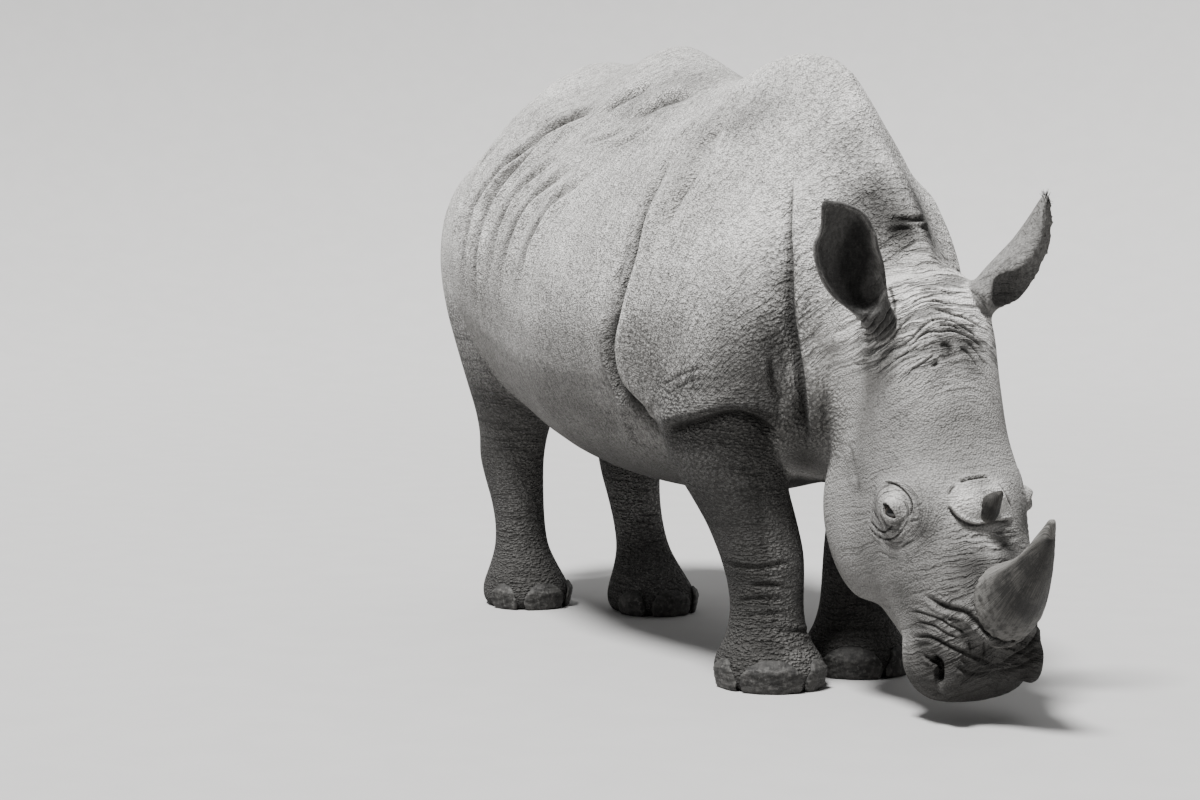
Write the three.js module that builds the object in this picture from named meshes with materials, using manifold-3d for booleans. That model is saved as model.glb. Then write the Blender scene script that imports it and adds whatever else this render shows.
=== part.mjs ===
// A white rhinoceros, life size, standing with its head lowered to graze.
// Millimetres. +X is forward, +Y is the animal's left, +Z is up, and the origin is on the
// ground under the middle of the model. Each mass of the body is a loft of rounded sections,
// taken from a few outline curves; the masses are then parted where they meet.
import * as THREE from "three";
import { mergeVertices } from "three/addons/utils/BufferGeometryUtils.js";
import Module from "manifold-3d";

const wasm = await Module();
wasm.setup();

// ---------------------------------------------------------------- driving dimensions
const shoulderHeight = 1615; // ground to the top of the hump
const trunkLength = 2110; // rump to the front of the chest
const trunkRear = -1060; // the rump, along X
const barrelHalfWidth = 490;
const headLength = 955; // poll to lips, down the face
const headTilt = 74; // degrees the face turns down from level
const headTurn = -4; // degrees, to the animal's left
const headTwist = 3; // degrees the muzzle swings to the left about the face's normal
const poll = [1245, 5, 1036]; // top of the head between the ears
const eyeRadius = 23;
const eyeAside = { right: 177, left: 165 }; // from the head's middle, the left one set deeper
const frontHornHeight = 275; // from the skin to the tip, square to the face
const rearHornHeight = 76;
const tailLength = 640;
const gap = 0.3; // left between touching pieces
const weld = 1e-3; // points closer than this are one
const smoothing = 0.06; // how far a surface may move where tiny facets are merged

// where the middle of each foot stands, as X and Y
const foreFeet = { right: [745, -172], left: [672, 130] };
const hindFeet = { right: [-735, -182], left: [-450, 105] };

// ---------------------------------------------------------------- helpers
const vec = (x, y, z) => new THREE.Vector3(x, y, z);
const radians = THREE.MathUtils.degToRad;
const sideSign = { right: -1, left: 1 };

// Smooth curves through rows of [where, value, value, ...]; answers a row of values.
function profile(rows) {
  const values = rows.flatMap((row) => row.slice(1));
  const curve = new THREE.CubicInterpolant(
    rows.map((row) => row[0]), values, rows[0].length - 1);
  return (where) => [...curve.evaluate(where)];
}

// One rounded section. A power of 1 is an ellipse, less is boxier, more is more pinched.
function section(centre, across, up, reach, sides, upPower = 1, downPower = 1) {
  return Array.from({ length: sides }, (_, i) => {
    const turn = (i / sides) * 2 * Math.PI;
    const c = Math.cos(turn);
    const s = Math.sin(turn);
    const power = s > 0 ? upPower : downPower;
    const w = Math.sign(c) * Math.abs(c) ** power * (c > 0 ? reach.left : reach.right);
    const h = Math.sign(s) * Math.abs(s) ** power * (s > 0 ? reach.up : reach.down);
    return centre.clone().addScaledVector(across, w).addScaledVector(up, h);
  });
}

// A closed surface over rings of points, with a fan at each end, its faces turned outwards.
function loft(rings) {
  const sides = rings[0].length;
  const middle = (ring) => ring.reduce((sum, p) => sum.add(p), vec(0, 0, 0)).divideScalar(sides);
  const points = [middle(rings[0]), ...rings.flat(), middle(rings.at(-1))];
  const at = (ring, side) => 1 + ring * sides + (side % sides);
  const end = points.length - 1;
  const faces = [];
  for (let side = 0; side < sides; side++) {
    faces.push([0, at(0, side + 1), at(0, side)]);
    faces.push([end, at(rings.length - 1, side), at(rings.length - 1, side + 1)]);
    for (let ring = 0; ring + 1 < rings.length; ring++) {
      faces.push([at(ring, side), at(ring, side + 1), at(ring + 1, side + 1)]);
      faces.push([at(ring, side), at(ring + 1, side + 1), at(ring + 1, side)]);
    }
  }
  const volume = faces.reduce((sum, [a, b, c]) =>
    sum + points[a].dot(points[b].clone().cross(points[c])), 0);
  const turned = volume < 0 ? faces.map(([a, b, c]) => [a, c, b]) : faces;
  return new THREE.BufferGeometry().setFromPoints(points).setIndex(turned.flat());
}

function solidOf(geometry) {
  const bare = new THREE.BufferGeometry().setIndex(geometry.index)
    .setAttribute("position", geometry.getAttribute("position"));
  const merged = mergeVertices(bare, weld);
  return new wasm.Manifold(new wasm.Mesh({
    numProp: 3,
    vertProperties: merged.attributes.position.array,
    triVerts: new Uint32Array(merged.index.array),
  }));
}

function geometryOf(solid) {
  const { vertProperties, triVerts } = solid.getMesh();
  return new THREE.BufferGeometry().setIndex(new THREE.BufferAttribute(triVerts, 1))
    .setAttribute("position", new THREE.BufferAttribute(vertProperties, 3));
}

// The largest closed surface of a solid, filled.
function largest(solid) {
  const pieces = solid.decompose();
  return pieces.reduce((best, piece) => (piece.volume() > best.volume() ? piece : best));
}

const join = (...solids) => solids.reduce((sum, solid) => sum.add(solid));

function box(low, high) {
  const size = low.map((value, i) => high[i] - value);
  const block = new THREE.BoxGeometry(...size);
  block.translate(...low.map((value, i) => value + size[i] / 2));
  return solidOf(block);
}

const placed = (geometry, matrix) => geometry.clone().applyMatrix4(matrix);

// ---------------------------------------------------------------- trunk
// share of the trunk's length from the rump, then top, belly and widest height as shares of
// the shoulder height, half width as a share of the barrel's, and how pinched the back is
const trunkOutline = profile([
  [0.0, 0.8, 0.64, 0.16, 0.72, 1.0],
  [0.025, 0.87, 0.54, 0.48, 0.71, 1.0],
  [0.065, 0.925, 0.465, 0.7, 0.69, 1.2],
  [0.14, 0.995, 0.4, 0.88, 0.67, 1.32],
  [0.22, 1.022, 0.36, 0.92, 0.64, 1.25],
  [0.335, 1.012, 0.309, 0.95, 0.6, 1.3],
  [0.38, 1.017, 0.298, 0.965, 0.585, 1.33],
  [0.47, 1.038, 0.281, 1.0, 0.56, 1.35],
  [0.54, 1.008, 0.275, 0.995, 0.56, 1.3],
  [0.643, 0.963, 0.273, 0.96, 0.565, 1.3],
  [0.7, 0.984, 0.28, 0.92, 0.57, 1.4],
  [0.76, 1.0, 0.295, 0.88, 0.58, 1.5],
  [0.83, 0.998, 0.313, 0.81, 0.59, 1.72],
  [0.905, 0.957, 0.335, 0.67, 0.6, 1.75],
  [0.965, 0.83, 0.4, 0.46, 0.62, 1.4],
  [1.0, 0.74, 0.48, 0.24, 0.62, 1.0],
]);
const trunkX = (share) => trunkRear + share * trunkLength;

function trunk(grow = 0) {
  const count = 27;
  const sides = 26;
  const rings = Array.from({ length: count + 1 }, (_, i) => {
    const even = i / count;
    const share = 0.55 * even + 0.45 * (0.5 - 0.5 * Math.cos(Math.PI * even));
    const [top, belly, half, widest, pinch] = trunkOutline(share);
    const middle = vec(trunkX(share), 0, widest * shoulderHeight);
    const width = half * barrelHalfWidth + grow;
    const reach = {
      left: width, right: width,
      up: (top - widest) * shoulderHeight + grow,
      down: (widest - belly) * shoulderHeight + grow,
    };
    return section(middle, vec(0, 1, 0), vec(0, 0, 1), reach, sides, pinch, 0.92);
  });
  return solidOf(loft(rings));
}

// ---------------------------------------------------------------- neck
// share along the neck, then X and Z of its middle, its tilt in degrees, and its reaches
const neckOutline = profile([
  [0.0, 640, 1080, 12, 420, 330, 310],
  [0.3, 840, 1050, 24, 355, 330, 260],
  [0.6, 990, 960, 42, 258, 290, 205],
  [0.85, 1085, 880, 56, 190, 255, 166],
  [1.0, 1150, 820, 66, 130, 200, 112],
]);

function neck(grow = 0) {
  const count = 8;
  const rings = Array.from({ length: count + 1 }, (_, i) => {
    const share = i / count;
    const [x, z, tilt, up, down, half] = neckOutline(share);
    const turn = radians(tilt);
    const middle = vec(x, poll[1] * share, z);
    const rise = vec(Math.sin(turn), 0, Math.cos(turn));
    const reach = { left: half + grow, right: half + grow, up: up + grow, down: down + grow };
    return section(middle, vec(0, 1, 0), rise, reach, 22, 1.7, 1);
  });
  return solidOf(loft(rings));
}

// ---------------------------------------------------------------- head
// Its frame has X down the face from the poll, Y to the left and Z out of the face.
const headPlace = new THREE.Matrix4().makeTranslation(...poll)
  .multiply(new THREE.Matrix4().makeRotationZ(radians(headTurn)))
  .multiply(new THREE.Matrix4().makeRotationY(radians(headTilt)))
  .multiply(new THREE.Matrix4().makeRotationZ(radians(headTwist)));

// share of the head's length, then the face line, the jaw line, the widest height, half
// width, and how boxy the face and the jaw are
const headOutline = profile([
  [-0.1, -120, -330, -220, 110, 1.0, 1.0],
  [-0.03, -30, -370, -190, 150, 0.9, 1.0],
  [0.08, 8, -410, -170, 180, 0.85, 0.85],
  [0.25, 4, -475, -180, 174, 0.8, 0.62],
  [0.4, -14, -525, -190, 178, 0.78, 0.6],
  [0.52, 2, -525, -180, 184, 0.75, 0.62],
  [0.67, -8, -462, -160, 174, 0.8, 0.68],
  [0.78, 12, -375, -140, 152, 0.8, 0.75],
  [0.87, -14, -295, -135, 148, 0.85, 0.82],
  [0.94, -50, -240, -130, 152, 0.8, 0.8],
  [0.985, -88, -215, -145, 136, 0.8, 0.8],
  [1.005, -125, -195, -155, 85, 0.9, 0.9],
]);

function headLoft(grow) {
  const count = 24;
  const from = -0.1;
  const to = 1.005;
  const rings = Array.from({ length: count + 1 }, (_, i) => {
    const even = i / count;
    const share = from + (to - from) * (0.8 * even + 0.2 * (0.5 - 0.5 * Math.cos(Math.PI * even)));
    const [face, jaw, widest, half, upPower, downPower] = headOutline(share);
    const reach = {
      left: half + grow, right: half + grow, up: face - widest + grow, down: widest - jaw + grow,
    };
    const middle = vec(share * headLength, 0, widest);
    return section(middle, vec(0, 1, 0), vec(0, 0, 1), reach, 26, upPower, downPower);
  });
  return solidOf(placed(loft(rings), headPlace));
}

// A shape given in the head's frame, its X as a share of the head's length.
const inHead = (share, y, z) => vec(share * headLength, y, z).applyMatrix4(headPlace);
const facingHead = (x, y, z) => vec(x, y, z).transformDirection(headPlace);

// An ellipsoid on three directions of its own, the third square to the other two.
function lump(centre, [first, second], radii, columns = 12, rows = 7) {
  const directions = [first, second, first.clone().cross(second).normalize()];
  const ball = new THREE.SphereGeometry(1, columns, rows);
  const frame = new THREE.Matrix4().makeBasis(...directions.map(
    (direction, i) => direction.clone().multiplyScalar(radii[i])));
  ball.applyMatrix4(frame.setPosition(centre));
  return solidOf(ball);
}
const headAxes = [facingHead(1, 0, 0), facingHead(0, 1, 0), facingHead(0, 0, 1)];

// A rounded cord through points, its radius given at each.
function cord(points, radii, count, sides) {
  const curve = new THREE.CatmullRomCurve3(points);
  const thickness = profile(radii.map((radius, i) => [i / (radii.length - 1), radius]));
  const { normals, binormals } = curve.computeFrenetFrames(count, false);
  const rings = normals.map((normal, i) => {
    const [radius] = thickness(i / count);
    const reach = { left: radius, right: radius, up: radius, down: radius };
    return section(curve.getPoint(i / count), normal, binormals[i], reach, sides);
  });
  return solidOf(loft(rings));
}

// eyes: the middle of each ball, and the directions of its slit, of its upper lid and outward
const eyeFrame = Object.fromEntries(Object.entries(sideSign).map(([side, sign]) => {
  const outward = facingHead(-0.05, sign * 0.86, 0.5);
  const slit = facingHead(0.78, sign * -0.34, 0.5).projectOnPlane(outward).normalize();
  const lid = facingHead(-0.7, 0, 0.5).projectOnPlane(outward).normalize();
  return [side, { centre: inHead(0.55, sign * eyeAside[side], -97), slit, lid, outward }];
}));

// The ball lies in a low mound under a brow, between two lids that meet at its corners.
function orbit({ centre, slit, lid, outward }) {
  const from = (a, b, c) => centre.clone().addScaledVector(slit, a)
    .addScaledVector(lid, b).addScaledVector(outward, c);
  const axes = [slit, lid, outward];
  const edge = (rise, radius) => cord(
    [-1, -0.55, 0, 0.55, 1].map((share) =>
      from(share * 30, rise * (1 - share * share), 20 - 9 * share * share)),
    [radius * 0.55, radius, radius, radius, radius * 0.55], 8, 8);
  return {
    mound: join(
      lump(from(0, 4, -33), axes, [84, 66, 46], 16, 9),
      lump(from(-2, 30, -12), axes, [46, 20, 24], 12, 7),
      edge(17, 9), edge(-15, 7.5)),
    socket: lump(centre, axes, Array(3).fill(eyeRadius + gap), 16, 10),
    ball: lump(centre, axes, Array(3).fill(eyeRadius), 16, 10),
  };
}
const orbits = Object.fromEntries(
  Object.entries(eyeFrame).map(([side, frame]) => [side, orbit(frame)]));

// nostrils, and the folds of skin that stand round them
function nostril(sign) {
  const outward = facingHead(0.25, sign * 0.85, 0.45);
  const long = facingHead(0.8, 0, -0.5).projectOnPlane(outward).normalize();
  const across = outward.clone().cross(long);
  const at = (a, b, c) => inHead(0.945, sign * 128, -96).addScaledVector(long, a)
    .addScaledVector(across, b * sign).addScaledVector(outward, c);
  return {
    rim: cord([at(-48, 14, -14), at(-38, -20, -4), at(2, -32, -2), at(38, -24, -6), at(52, 6, -18)],
      [12, 19, 22, 19, 12], 10, 8),
    hollow: join(
      lump(at(2, -2, 0), [long, across], [34, 14, 42], 12, 8),
      lump(at(-22, 12, 0), [long, across], [16, 14, 32], 10, 7)),
  };
}
const nostrils = Object.values(sideSign).map(nostril);

// lips: the line of the mouth runs round the muzzle between two cords
const mouthLine = (drop, out) => [[0.775, 122], [0.86, 140], [0.935, 146], [0.985, 118], [1.004, 58]]
  .map(([share, half]) => [share, half + out, -186 - 30 * (0.98 - share) * 4 + drop]);
function lip(drop, radius) {
  const one = mouthLine(drop, -4);
  const path = [...one.map(([share, half, z]) => inHead(share, half, z)),
    ...one.toReversed().map(([share, half, z]) => inHead(share, -half, z))];
  return cord(path, [radius * 0.25, radius, radius, radius * 1.1, radius, radius, radius * 0.25], 20, 8);
}
const lips = { upper: lip(17, 20), lower: lip(-15, 17) };

// the cheeks, full over the jaw muscles
const cheeks = Object.values(sideSign).map((sign) =>
  lump(inHead(0.53, sign * 116, -372), headAxes, [205, 80, 132], 14, 9));

// raised pads of skin under the two horns
const hornPads = (grow) => [
  lump(inHead(0.545, 0, -14), headAxes, [60 + grow, 80 + grow, 36 + grow], 16, 8),
  lump(inHead(0.79, 0, -8), headAxes, [118 + grow, 114 + grow, 34 + grow], 16, 8),
];

const headMass = (grow = 0) => join(headLoft(grow), ...cheeks, ...hornPads(grow),
  ...Object.values(orbits).map(({ mound }) => mound), ...nostrils.map(({ rim }) => rim),
  lips.upper, lips.lower);

// ---------------------------------------------------------------- horns
// A bent cone through points of [share of the head's length, height off the face, distance
// to the left of its middle]. Its section is given at each as half length and half width.
function horn(path, reaches, count, sides) {
  const curve = new THREE.CatmullRomCurve3(path.map(([share, height, aside]) =>
    inHead(share, aside, height)));
  const size = profile(reaches.map((pair, i) => [i / (reaches.length - 1), ...pair]));
  const across = facingHead(0, 1, 0);
  const rings = Array.from({ length: count + 1 }, (_, i) => {
    const [length, width] = size(i / count);
    const along = curve.getTangent(i / count).cross(across);
    const reach = { left: width, right: width, up: length, down: length };
    return section(curve.getPoint(i / count), across, along, reach, sides);
  });
  return solidOf(loft(rings));
}
const frontHorn = horn(
  [[0.815, -50, 12], [0.8, 0.12 * frontHornHeight, 13], [0.755, 0.58 * frontHornHeight, 5],
    [0.655, frontHornHeight + 18, -2]],
  [[100, 104], [84, 88], [48, 48], [8, 8]], 10, 18);
const rearHorn = horn(
  [[0.583, -50, 12], [0.575, 0, 12], [0.548, rearHornHeight + 8, 12]],
  [[46, 44], [36, 32], [4, 4]], 5, 12);

// ---------------------------------------------------------------- limbs
// Each limb is one loft from the sole to high inside the trunk: height, then X and half length,
// distance from the middle plane and half width.
const foreOutline = profile([
  [0, 722, 138, 158, 128],
  [55, 724, 148, 158, 142],
  [110, 714, 112, 158, 108],
  [155, 710, 98, 158, 92],
  [235, 708, 101, 158, 91],
  [335, 704, 116, 172, 104],
  [440, 680, 132, 200, 114],
  [560, 652, 172, 244, 134],
  [670, 654, 214, 260, 150],
  [780, 664, 250, 262, 155],
  [920, 674, 276, 243, 152],
  [1070, 660, 266, 214, 134],
  [1220, 620, 230, 174, 106],
  [1350, 585, 180, 124, 76],
  [1450, 560, 110, 84, 48],
]);
const hindOutline = profile([
  [0, -698, 138, 186, 118],
  [55, -698, 146, 186, 130],
  [110, -712, 118, 186, 104],
  [170, -732, 88, 186, 80],
  [280, -760, 86, 186, 74],
  [380, -790, 114, 192, 82],
  [455, -800, 134, 198, 88],
  [540, -766, 134, 206, 98],
  [660, -708, 200, 224, 128],
  [800, -672, 268, 240, 160],
  [950, -690, 300, 246, 182],
  [1100, -735, 296, 240, 180],
  [1250, -775, 250, 216, 156],
  [1350, -780, 170, 182, 120],
  [1430, -785, 90, 152, 72],
]);
// settled is the height above which a foot's own place no longer moves its limb
const limbs = {
  foreleg: {
    outline: foreOutline, feet: foreFeet, foot: "forefoot", top: 1450, count: 19, settled: 700,
  },
  hindleg: {
    outline: hindOutline, feet: hindFeet, foot: "hindfoot", top: 1430, count: 20, settled: 600,
  },
};

function limb({ outline, top, count, settled }, [footX, footY], grow = 0) {
  const [plainX, , plainY] = outline(0);
  const [aside, sign] = [Math.abs(footY) - plainY, Math.sign(footY)];
  const rings = Array.from({ length: count + 1 }, (_, i) => {
    const height = top * (i / count) ** 1.1;
    const [x, halfLength, y, halfWidth] = outline(height);
    const shifted = 1 - THREE.MathUtils.smoothstep(height, 0, settled);
    const middle = vec(x + (footX - plainX) * shifted, sign * (y + aside * shifted), height);
    const length = halfLength + grow;
    const width = halfWidth + grow;
    const reach = { left: length, right: length, up: width, down: width };
    return section(middle, vec(1, 0, 0), vec(0, 1, 0), reach, 18, 0.95, 0.95);
  });
  return solidOf(loft(rings));
}

// ---------------------------------------------------------------- ears
// A bent leaf with a deep cup, along a path from inside the head to the tip. The half width
// and the half depth of the leaf are given at each point of the path.
function ear(path, halfWidths, depths, facing) {
  const curve = new THREE.CatmullRomCurve3(path.map((point) => vec(...point)));
  const size = profile(halfWidths.map((half, i) => [i / (path.length - 1), half, depths[i]]));
  const rounded = 0.6; // narrows the first section, so the leaf and its cup begin rounded
  const leaf = (low, high, count, inset, open) => Array.from({ length: count + 1 }, (_, i) => {
    const share = low + (high - low) * (i / count);
    const [half, deep] = size(share).map((value) => value * (i === 0 ? rounded : 1));
    const out = vec(...facing).projectOnPlane(curve.getTangent(share)).normalize();
    const across = curve.getTangent(share).cross(out);
    const closed = open * Math.max(0, 0.55 - share) * deep; // the foot of the ear is a tube
    const middle = curve.getPoint(share).addScaledVector(out, closed);
    const [width, depth] = [half, deep].map((value) => Math.max(value - inset, 1.5));
    const reach = { left: width, right: width, up: depth * (1 + 1.4 * open), down: depth };
    return section(middle, across, out, reach, 16);
  });
  const shell = solidOf(loft(leaf(0, 1, 11, 0, 0)));
  const cup = solidOf(loft(leaf(0.2, 0.975, 10, 8.5, 1)));
  return shell.subtract(cup);
}
const ears = {
  right: ear(
    [[1196, -112, 905], [1234, -184, 984], [1250, -230, 1041], [1266, -270, 1100],
      [1281, -289, 1163], [1292, -352, 1226]],
    [34, 44, 72, 78, 68, 8], [34, 44, 52, 50, 36, 6], [0.9, -0.44, 0]),
  left: ear(
    [[1200, 84, 915], [1234, 138, 1000], [1256, 195, 1040], [1281, 234, 1095],
      [1306, 250, 1168], [1326, 245, 1241]],
    [34, 46, 68, 72, 52, 16], [34, 46, 60, 58, 40, 8], [0.74, 0.66, 0.1]),
};

// ---------------------------------------------------------------- tail
const tailRoot = vec(-1000, 0, 1300);
const tailPath = [tailRoot, vec(-1085, 0, 1248), vec(-1136, 0, 1120), vec(-1146, 0, 920),
  vec(-1138, 0, 1300 - tailLength)];
const tail = cord(tailPath, [48, 46, 36, 24, 16], 12, 10);

// ---------------------------------------------------------------- toenails
const nailTurns = { inner: 58, middle: 0, outer: -58 };
// A nail is a plate that follows the foot: half its width and height, and its middle's height.
const nailThickness = 10;
const nailSizes = {
  forefoot: { middle: [86, 64, 24], side: [50, 58, 24] },
  hindfoot: { middle: [68, 56, 26], side: [50, 52, 26] },
};
// Degrees by which each forefoot points to the animal's right.
const footTurns = { right_forefoot: 28, left_forefoot: 37 };
function toenail(kind, side, foot, place, grown) {
  const [, halfLength, , halfWidth] = kind.outline(40);
  const mirrored = -Math.sign(foot[1]);
  const footTurn = footTurns[`${side}_${kind.foot}`] ?? 0;
  const angle = radians(nailTurns[place] * mirrored - footTurn);
  const outward = vec(Math.cos(angle), Math.sin(angle), 0);
  const across = vec(-Math.sin(angle), Math.cos(angle), 0);
  const [halfAcross, halfHeight, height] = nailSizes[kind.foot][place === "middle" ? "middle" : "side"];
  const centre = vec(
    foot[0] + Math.cos(angle) * (halfLength - 10), foot[1] + Math.sin(angle) * (halfWidth - 10), height);
  const leaning = vec(0, 0, 1).addScaledVector(outward, -0.35).normalize();
  const reach = lump(centre, [across, leaning], [halfAcross, halfHeight, 60], 16, 8);
  return limb(kind, foot, gap + nailThickness).intersect(reach).subtract(grown).subtract(underground);
}

// ---------------------------------------------------------------- parting
// The part of space beyond a plane.
function beyond(point, normal, shift = gap / 2) {
  const far = 6000;
  const block = new THREE.BoxGeometry(far, far, far);
  block.translate(0, 0, far / 2 + shift);
  block.applyQuaternion(new THREE.Quaternion().setFromUnitVectors(vec(0, 0, 1), normal));
  block.translate(point.x, point.y, point.z);
  return solidOf(block);
}
const opposite = (normal) => normal.clone().negate();
const underground = box([-3000, -3000, -500], [3000, 3000, 0]);

const chestPoint = vec(955, 0, 1000);
const chestFacing = vec(Math.cos(radians(12)), 0, Math.sin(radians(12)));
const throatPoint = inHead(-0.1, 0, -60);
const throatFacing = facingHead(0.66, 0, 0.75);
const jawPoint = inHead(0.9, 0, -188);
const jawFacing = facingHead(0.128, 0, -1);
const jawRear = inHead(0.36, 0, -300);

// a leg ends at a sloping cut above its fold, and its upper end belongs to the torso
const legTop = {
  foreleg: { point: vec(690, 0, 720), facing: vec(0.25, 0, -1).normalize() },
  hindleg: { point: vec(-700, 0, 960), facing: vec(0.3, 0, -1).normalize() },
};
const everyLimb = Object.entries(limbs).flatMap(([name, kind]) =>
  Object.entries(kind.feet).map(([side, foot]) => ({ name, side, kind, foot })));
const upperLimbs = everyLimb.map(({ name, kind, foot }) =>
  limb(kind, foot).intersect(beyond(legTop[name].point, opposite(legTop[name].facing))));

const body = join(trunk(), neck(), headMass(), ...upperLimbs);
const front = body.intersect(beyond(chestPoint, chestFacing));
const face = front.intersect(beyond(throatPoint, throatFacing));
const nodes = new Map();
const put = (name, solid, material) =>
  nodes.set(name, [largest(largest(solid).simplify(smoothing)), material]);

const jawSpace = (shift) =>
  beyond(jawPoint, jawFacing, shift).intersect(beyond(jawRear, headAxes[0], shift));
const hollows = join(
  ...Object.values(orbits).map(({ socket }) => socket),
  ...nostrils.map(({ hollow }) => hollow));

const surface = (color, roughness) =>
  new THREE.MeshStandardMaterial({ color, roughness, metalness: 0 });
const hide = surface(0x9b9893, 0.92);
const hornCover = surface(0x5a554e, 0.6);
const nailCover = surface(0x6b655d, 0.6);
const eyeCover = surface(0x14100d, 0.15);
const bristle = surface(0x2a2724, 0.9);

put("torso", body.intersect(beyond(chestPoint, opposite(chestFacing))), hide);
put("neck", front.intersect(beyond(throatPoint, opposite(throatFacing))), hide);
put("head", face.subtract(jawSpace(-gap / 2)).subtract(hollows), hide);
put("lower_jaw", face.intersect(jawSpace(gap / 2)), hide);

const headGrown = headMass(gap);
put("front_horn", frontHorn.subtract(headGrown), hornCover);
put("rear_horn", rearHorn.subtract(headGrown), hornCover);
for (const [side, { ball }] of Object.entries(orbits)) put(`${side}_eye`, ball, eyeCover);
const bodyGrown = join(trunk(gap), neck(gap), headGrown);
for (const [side, solid] of Object.entries(ears)) put(`${side}_ear`, solid.subtract(bodyGrown), hide);

const ankle = vec(0, 0, 105); // where a foot parts from its leg
for (const { name, side, kind, foot } of everyLimb) {
  const whole = limb(kind, foot).intersect(beyond(legTop[name].point, legTop[name].facing))
    .subtract(bodyGrown);
  put(`${side}_${name}`, whole.intersect(beyond(ankle, vec(0, 0, 1))), hide);
  put(`${side}_${kind.foot}`, whole.intersect(beyond(ankle, vec(0, 0, -1))), hide);
  const grown = limb(kind, foot, gap);
  for (const place of Object.keys(nailTurns)) {
    put(`${side}_${kind.foot}_${place}_nail`, toenail(kind, side, foot, place, grown), nailCover);
  }
}

const tuft = (grow) => lump(
  vec(-1142, 0, 690), [vec(1, 0, 0), vec(0, 1, 0)], [24 + grow, 34 + grow, 120 + grow], 10, 8);
put("tail", tail.subtract(bodyGrown).subtract(tuft(gap)), hide);
put("tail_tuft", tuft(0), bristle);

// ---------------------------------------------------------------- model
const rhinoceros = new THREE.Group();
rhinoceros.name = "white_rhinoceros";
for (const [name, [solid, material]] of nodes) {
  const mesh = new THREE.Mesh(geometryOf(solid), material);
  mesh.name = name;
  rhinoceros.add(mesh);
}
const { min, max } = new THREE.Box3().setFromObject(rhinoceros);
for (const mesh of rhinoceros.children) {
  mesh.geometry.translate(-(min.x + max.x) / 2, -(min.y + max.y) / 2, 0);
}
export default rhinoceros;
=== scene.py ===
import math
import bmesh
import bpy
import numpy as np
from mathutils import Matrix, Vector
from mathutils.bvhtree import BVHTree


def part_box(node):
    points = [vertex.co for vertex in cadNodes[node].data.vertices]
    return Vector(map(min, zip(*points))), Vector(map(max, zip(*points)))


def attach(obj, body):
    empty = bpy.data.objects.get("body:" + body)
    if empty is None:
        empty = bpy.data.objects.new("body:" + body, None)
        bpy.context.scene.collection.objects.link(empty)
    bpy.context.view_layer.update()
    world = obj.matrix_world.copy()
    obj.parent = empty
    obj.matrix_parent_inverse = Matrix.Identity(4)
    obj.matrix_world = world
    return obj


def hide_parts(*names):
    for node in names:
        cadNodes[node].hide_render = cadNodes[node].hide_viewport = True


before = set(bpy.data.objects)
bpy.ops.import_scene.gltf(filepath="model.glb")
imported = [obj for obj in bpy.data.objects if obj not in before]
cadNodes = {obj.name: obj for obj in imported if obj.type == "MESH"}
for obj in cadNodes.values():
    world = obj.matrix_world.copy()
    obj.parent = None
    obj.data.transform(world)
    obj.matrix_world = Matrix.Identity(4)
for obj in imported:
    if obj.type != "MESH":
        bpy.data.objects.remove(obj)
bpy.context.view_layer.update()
print("frame loaded:", len(cadNodes), "nodes")

# camera, first because folds are placed along its lines of sight
cameraSettings = {
    "place": (5.973, -3.330, 1.2),
    "heading": 64.0,       # degrees, turned left from facing +Y
    "downward": 4.285,     # degrees below level
    "focalPixels": 2509.0, # on an image 1200 wide
    "imageSize": (1200, 800),
}


def makeCamera(settings):
    width, height = settings["imageSize"]
    lens = bpy.data.cameras.new("camera")
    lens.sensor_width = 36.0
    lens.lens = settings["focalPixels"] * lens.sensor_width / width
    lens.clip_end = 200
    camera = bpy.data.objects.new("camera", lens)
    camera.location = settings["place"]
    camera.rotation_euler = (math.radians(90 - settings["downward"]), 0, math.radians(settings["heading"]))
    bpy.context.scene.collection.objects.link(camera)
    bpy.context.scene.camera = camera
    turn = camera.rotation_euler.to_matrix()

    def sightLine(x, y):
        local = Vector((x - width / 2, height / 2 - y, -settings["focalPixels"]))
        return Vector(settings["place"]), (turn @ local).normalized()

    return sightLine


sightLine = makeCamera(cameraSettings)
print("camera set")


# helpers for meshes and their points
def linked(name, mesh):
    piece = bpy.data.objects.new(name, mesh)
    bpy.context.scene.collection.objects.link(piece)
    return piece


def baked(piece):
    # the piece's modifiers become its mesh
    graph = bpy.context.evaluated_depsgraph_get()
    mesh = bpy.data.meshes.new_from_object(piece.evaluated_get(graph))
    piece.modifiers.clear()
    piece.data = mesh
    return piece


def joinedCopy(name, members, grow=0.0):
    # copies of CAD nodes in one mesh, each swollen a little so that neighbours run into each other
    shape = bmesh.new()
    for member in members:
        copy = bmesh.new()
        copy.from_mesh(cadNodes[member].data)
        bmesh.ops.remove_doubles(copy, verts=copy.verts, dist=1e-6)
        copy.normal_update()
        moved = [vertex.co + vertex.normal * grow for vertex in copy.verts]
        for vertex, place in zip(copy.verts, moved):
            vertex.co = place
        part = bpy.data.meshes.new("part")
        copy.to_mesh(part)
        copy.free()
        shape.from_mesh(part)
        bpy.data.meshes.remove(part)
    mesh = bpy.data.meshes.new(name)
    shape.to_mesh(mesh)
    shape.free()
    return linked(name, mesh)


def remeshed(piece, voxel):
    modifier = piece.modifiers.new("remesh", "REMESH")
    modifier.mode = "VOXEL"
    modifier.voxel_size = voxel
    modifier.adaptivity = 0
    return baked(piece)


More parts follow.
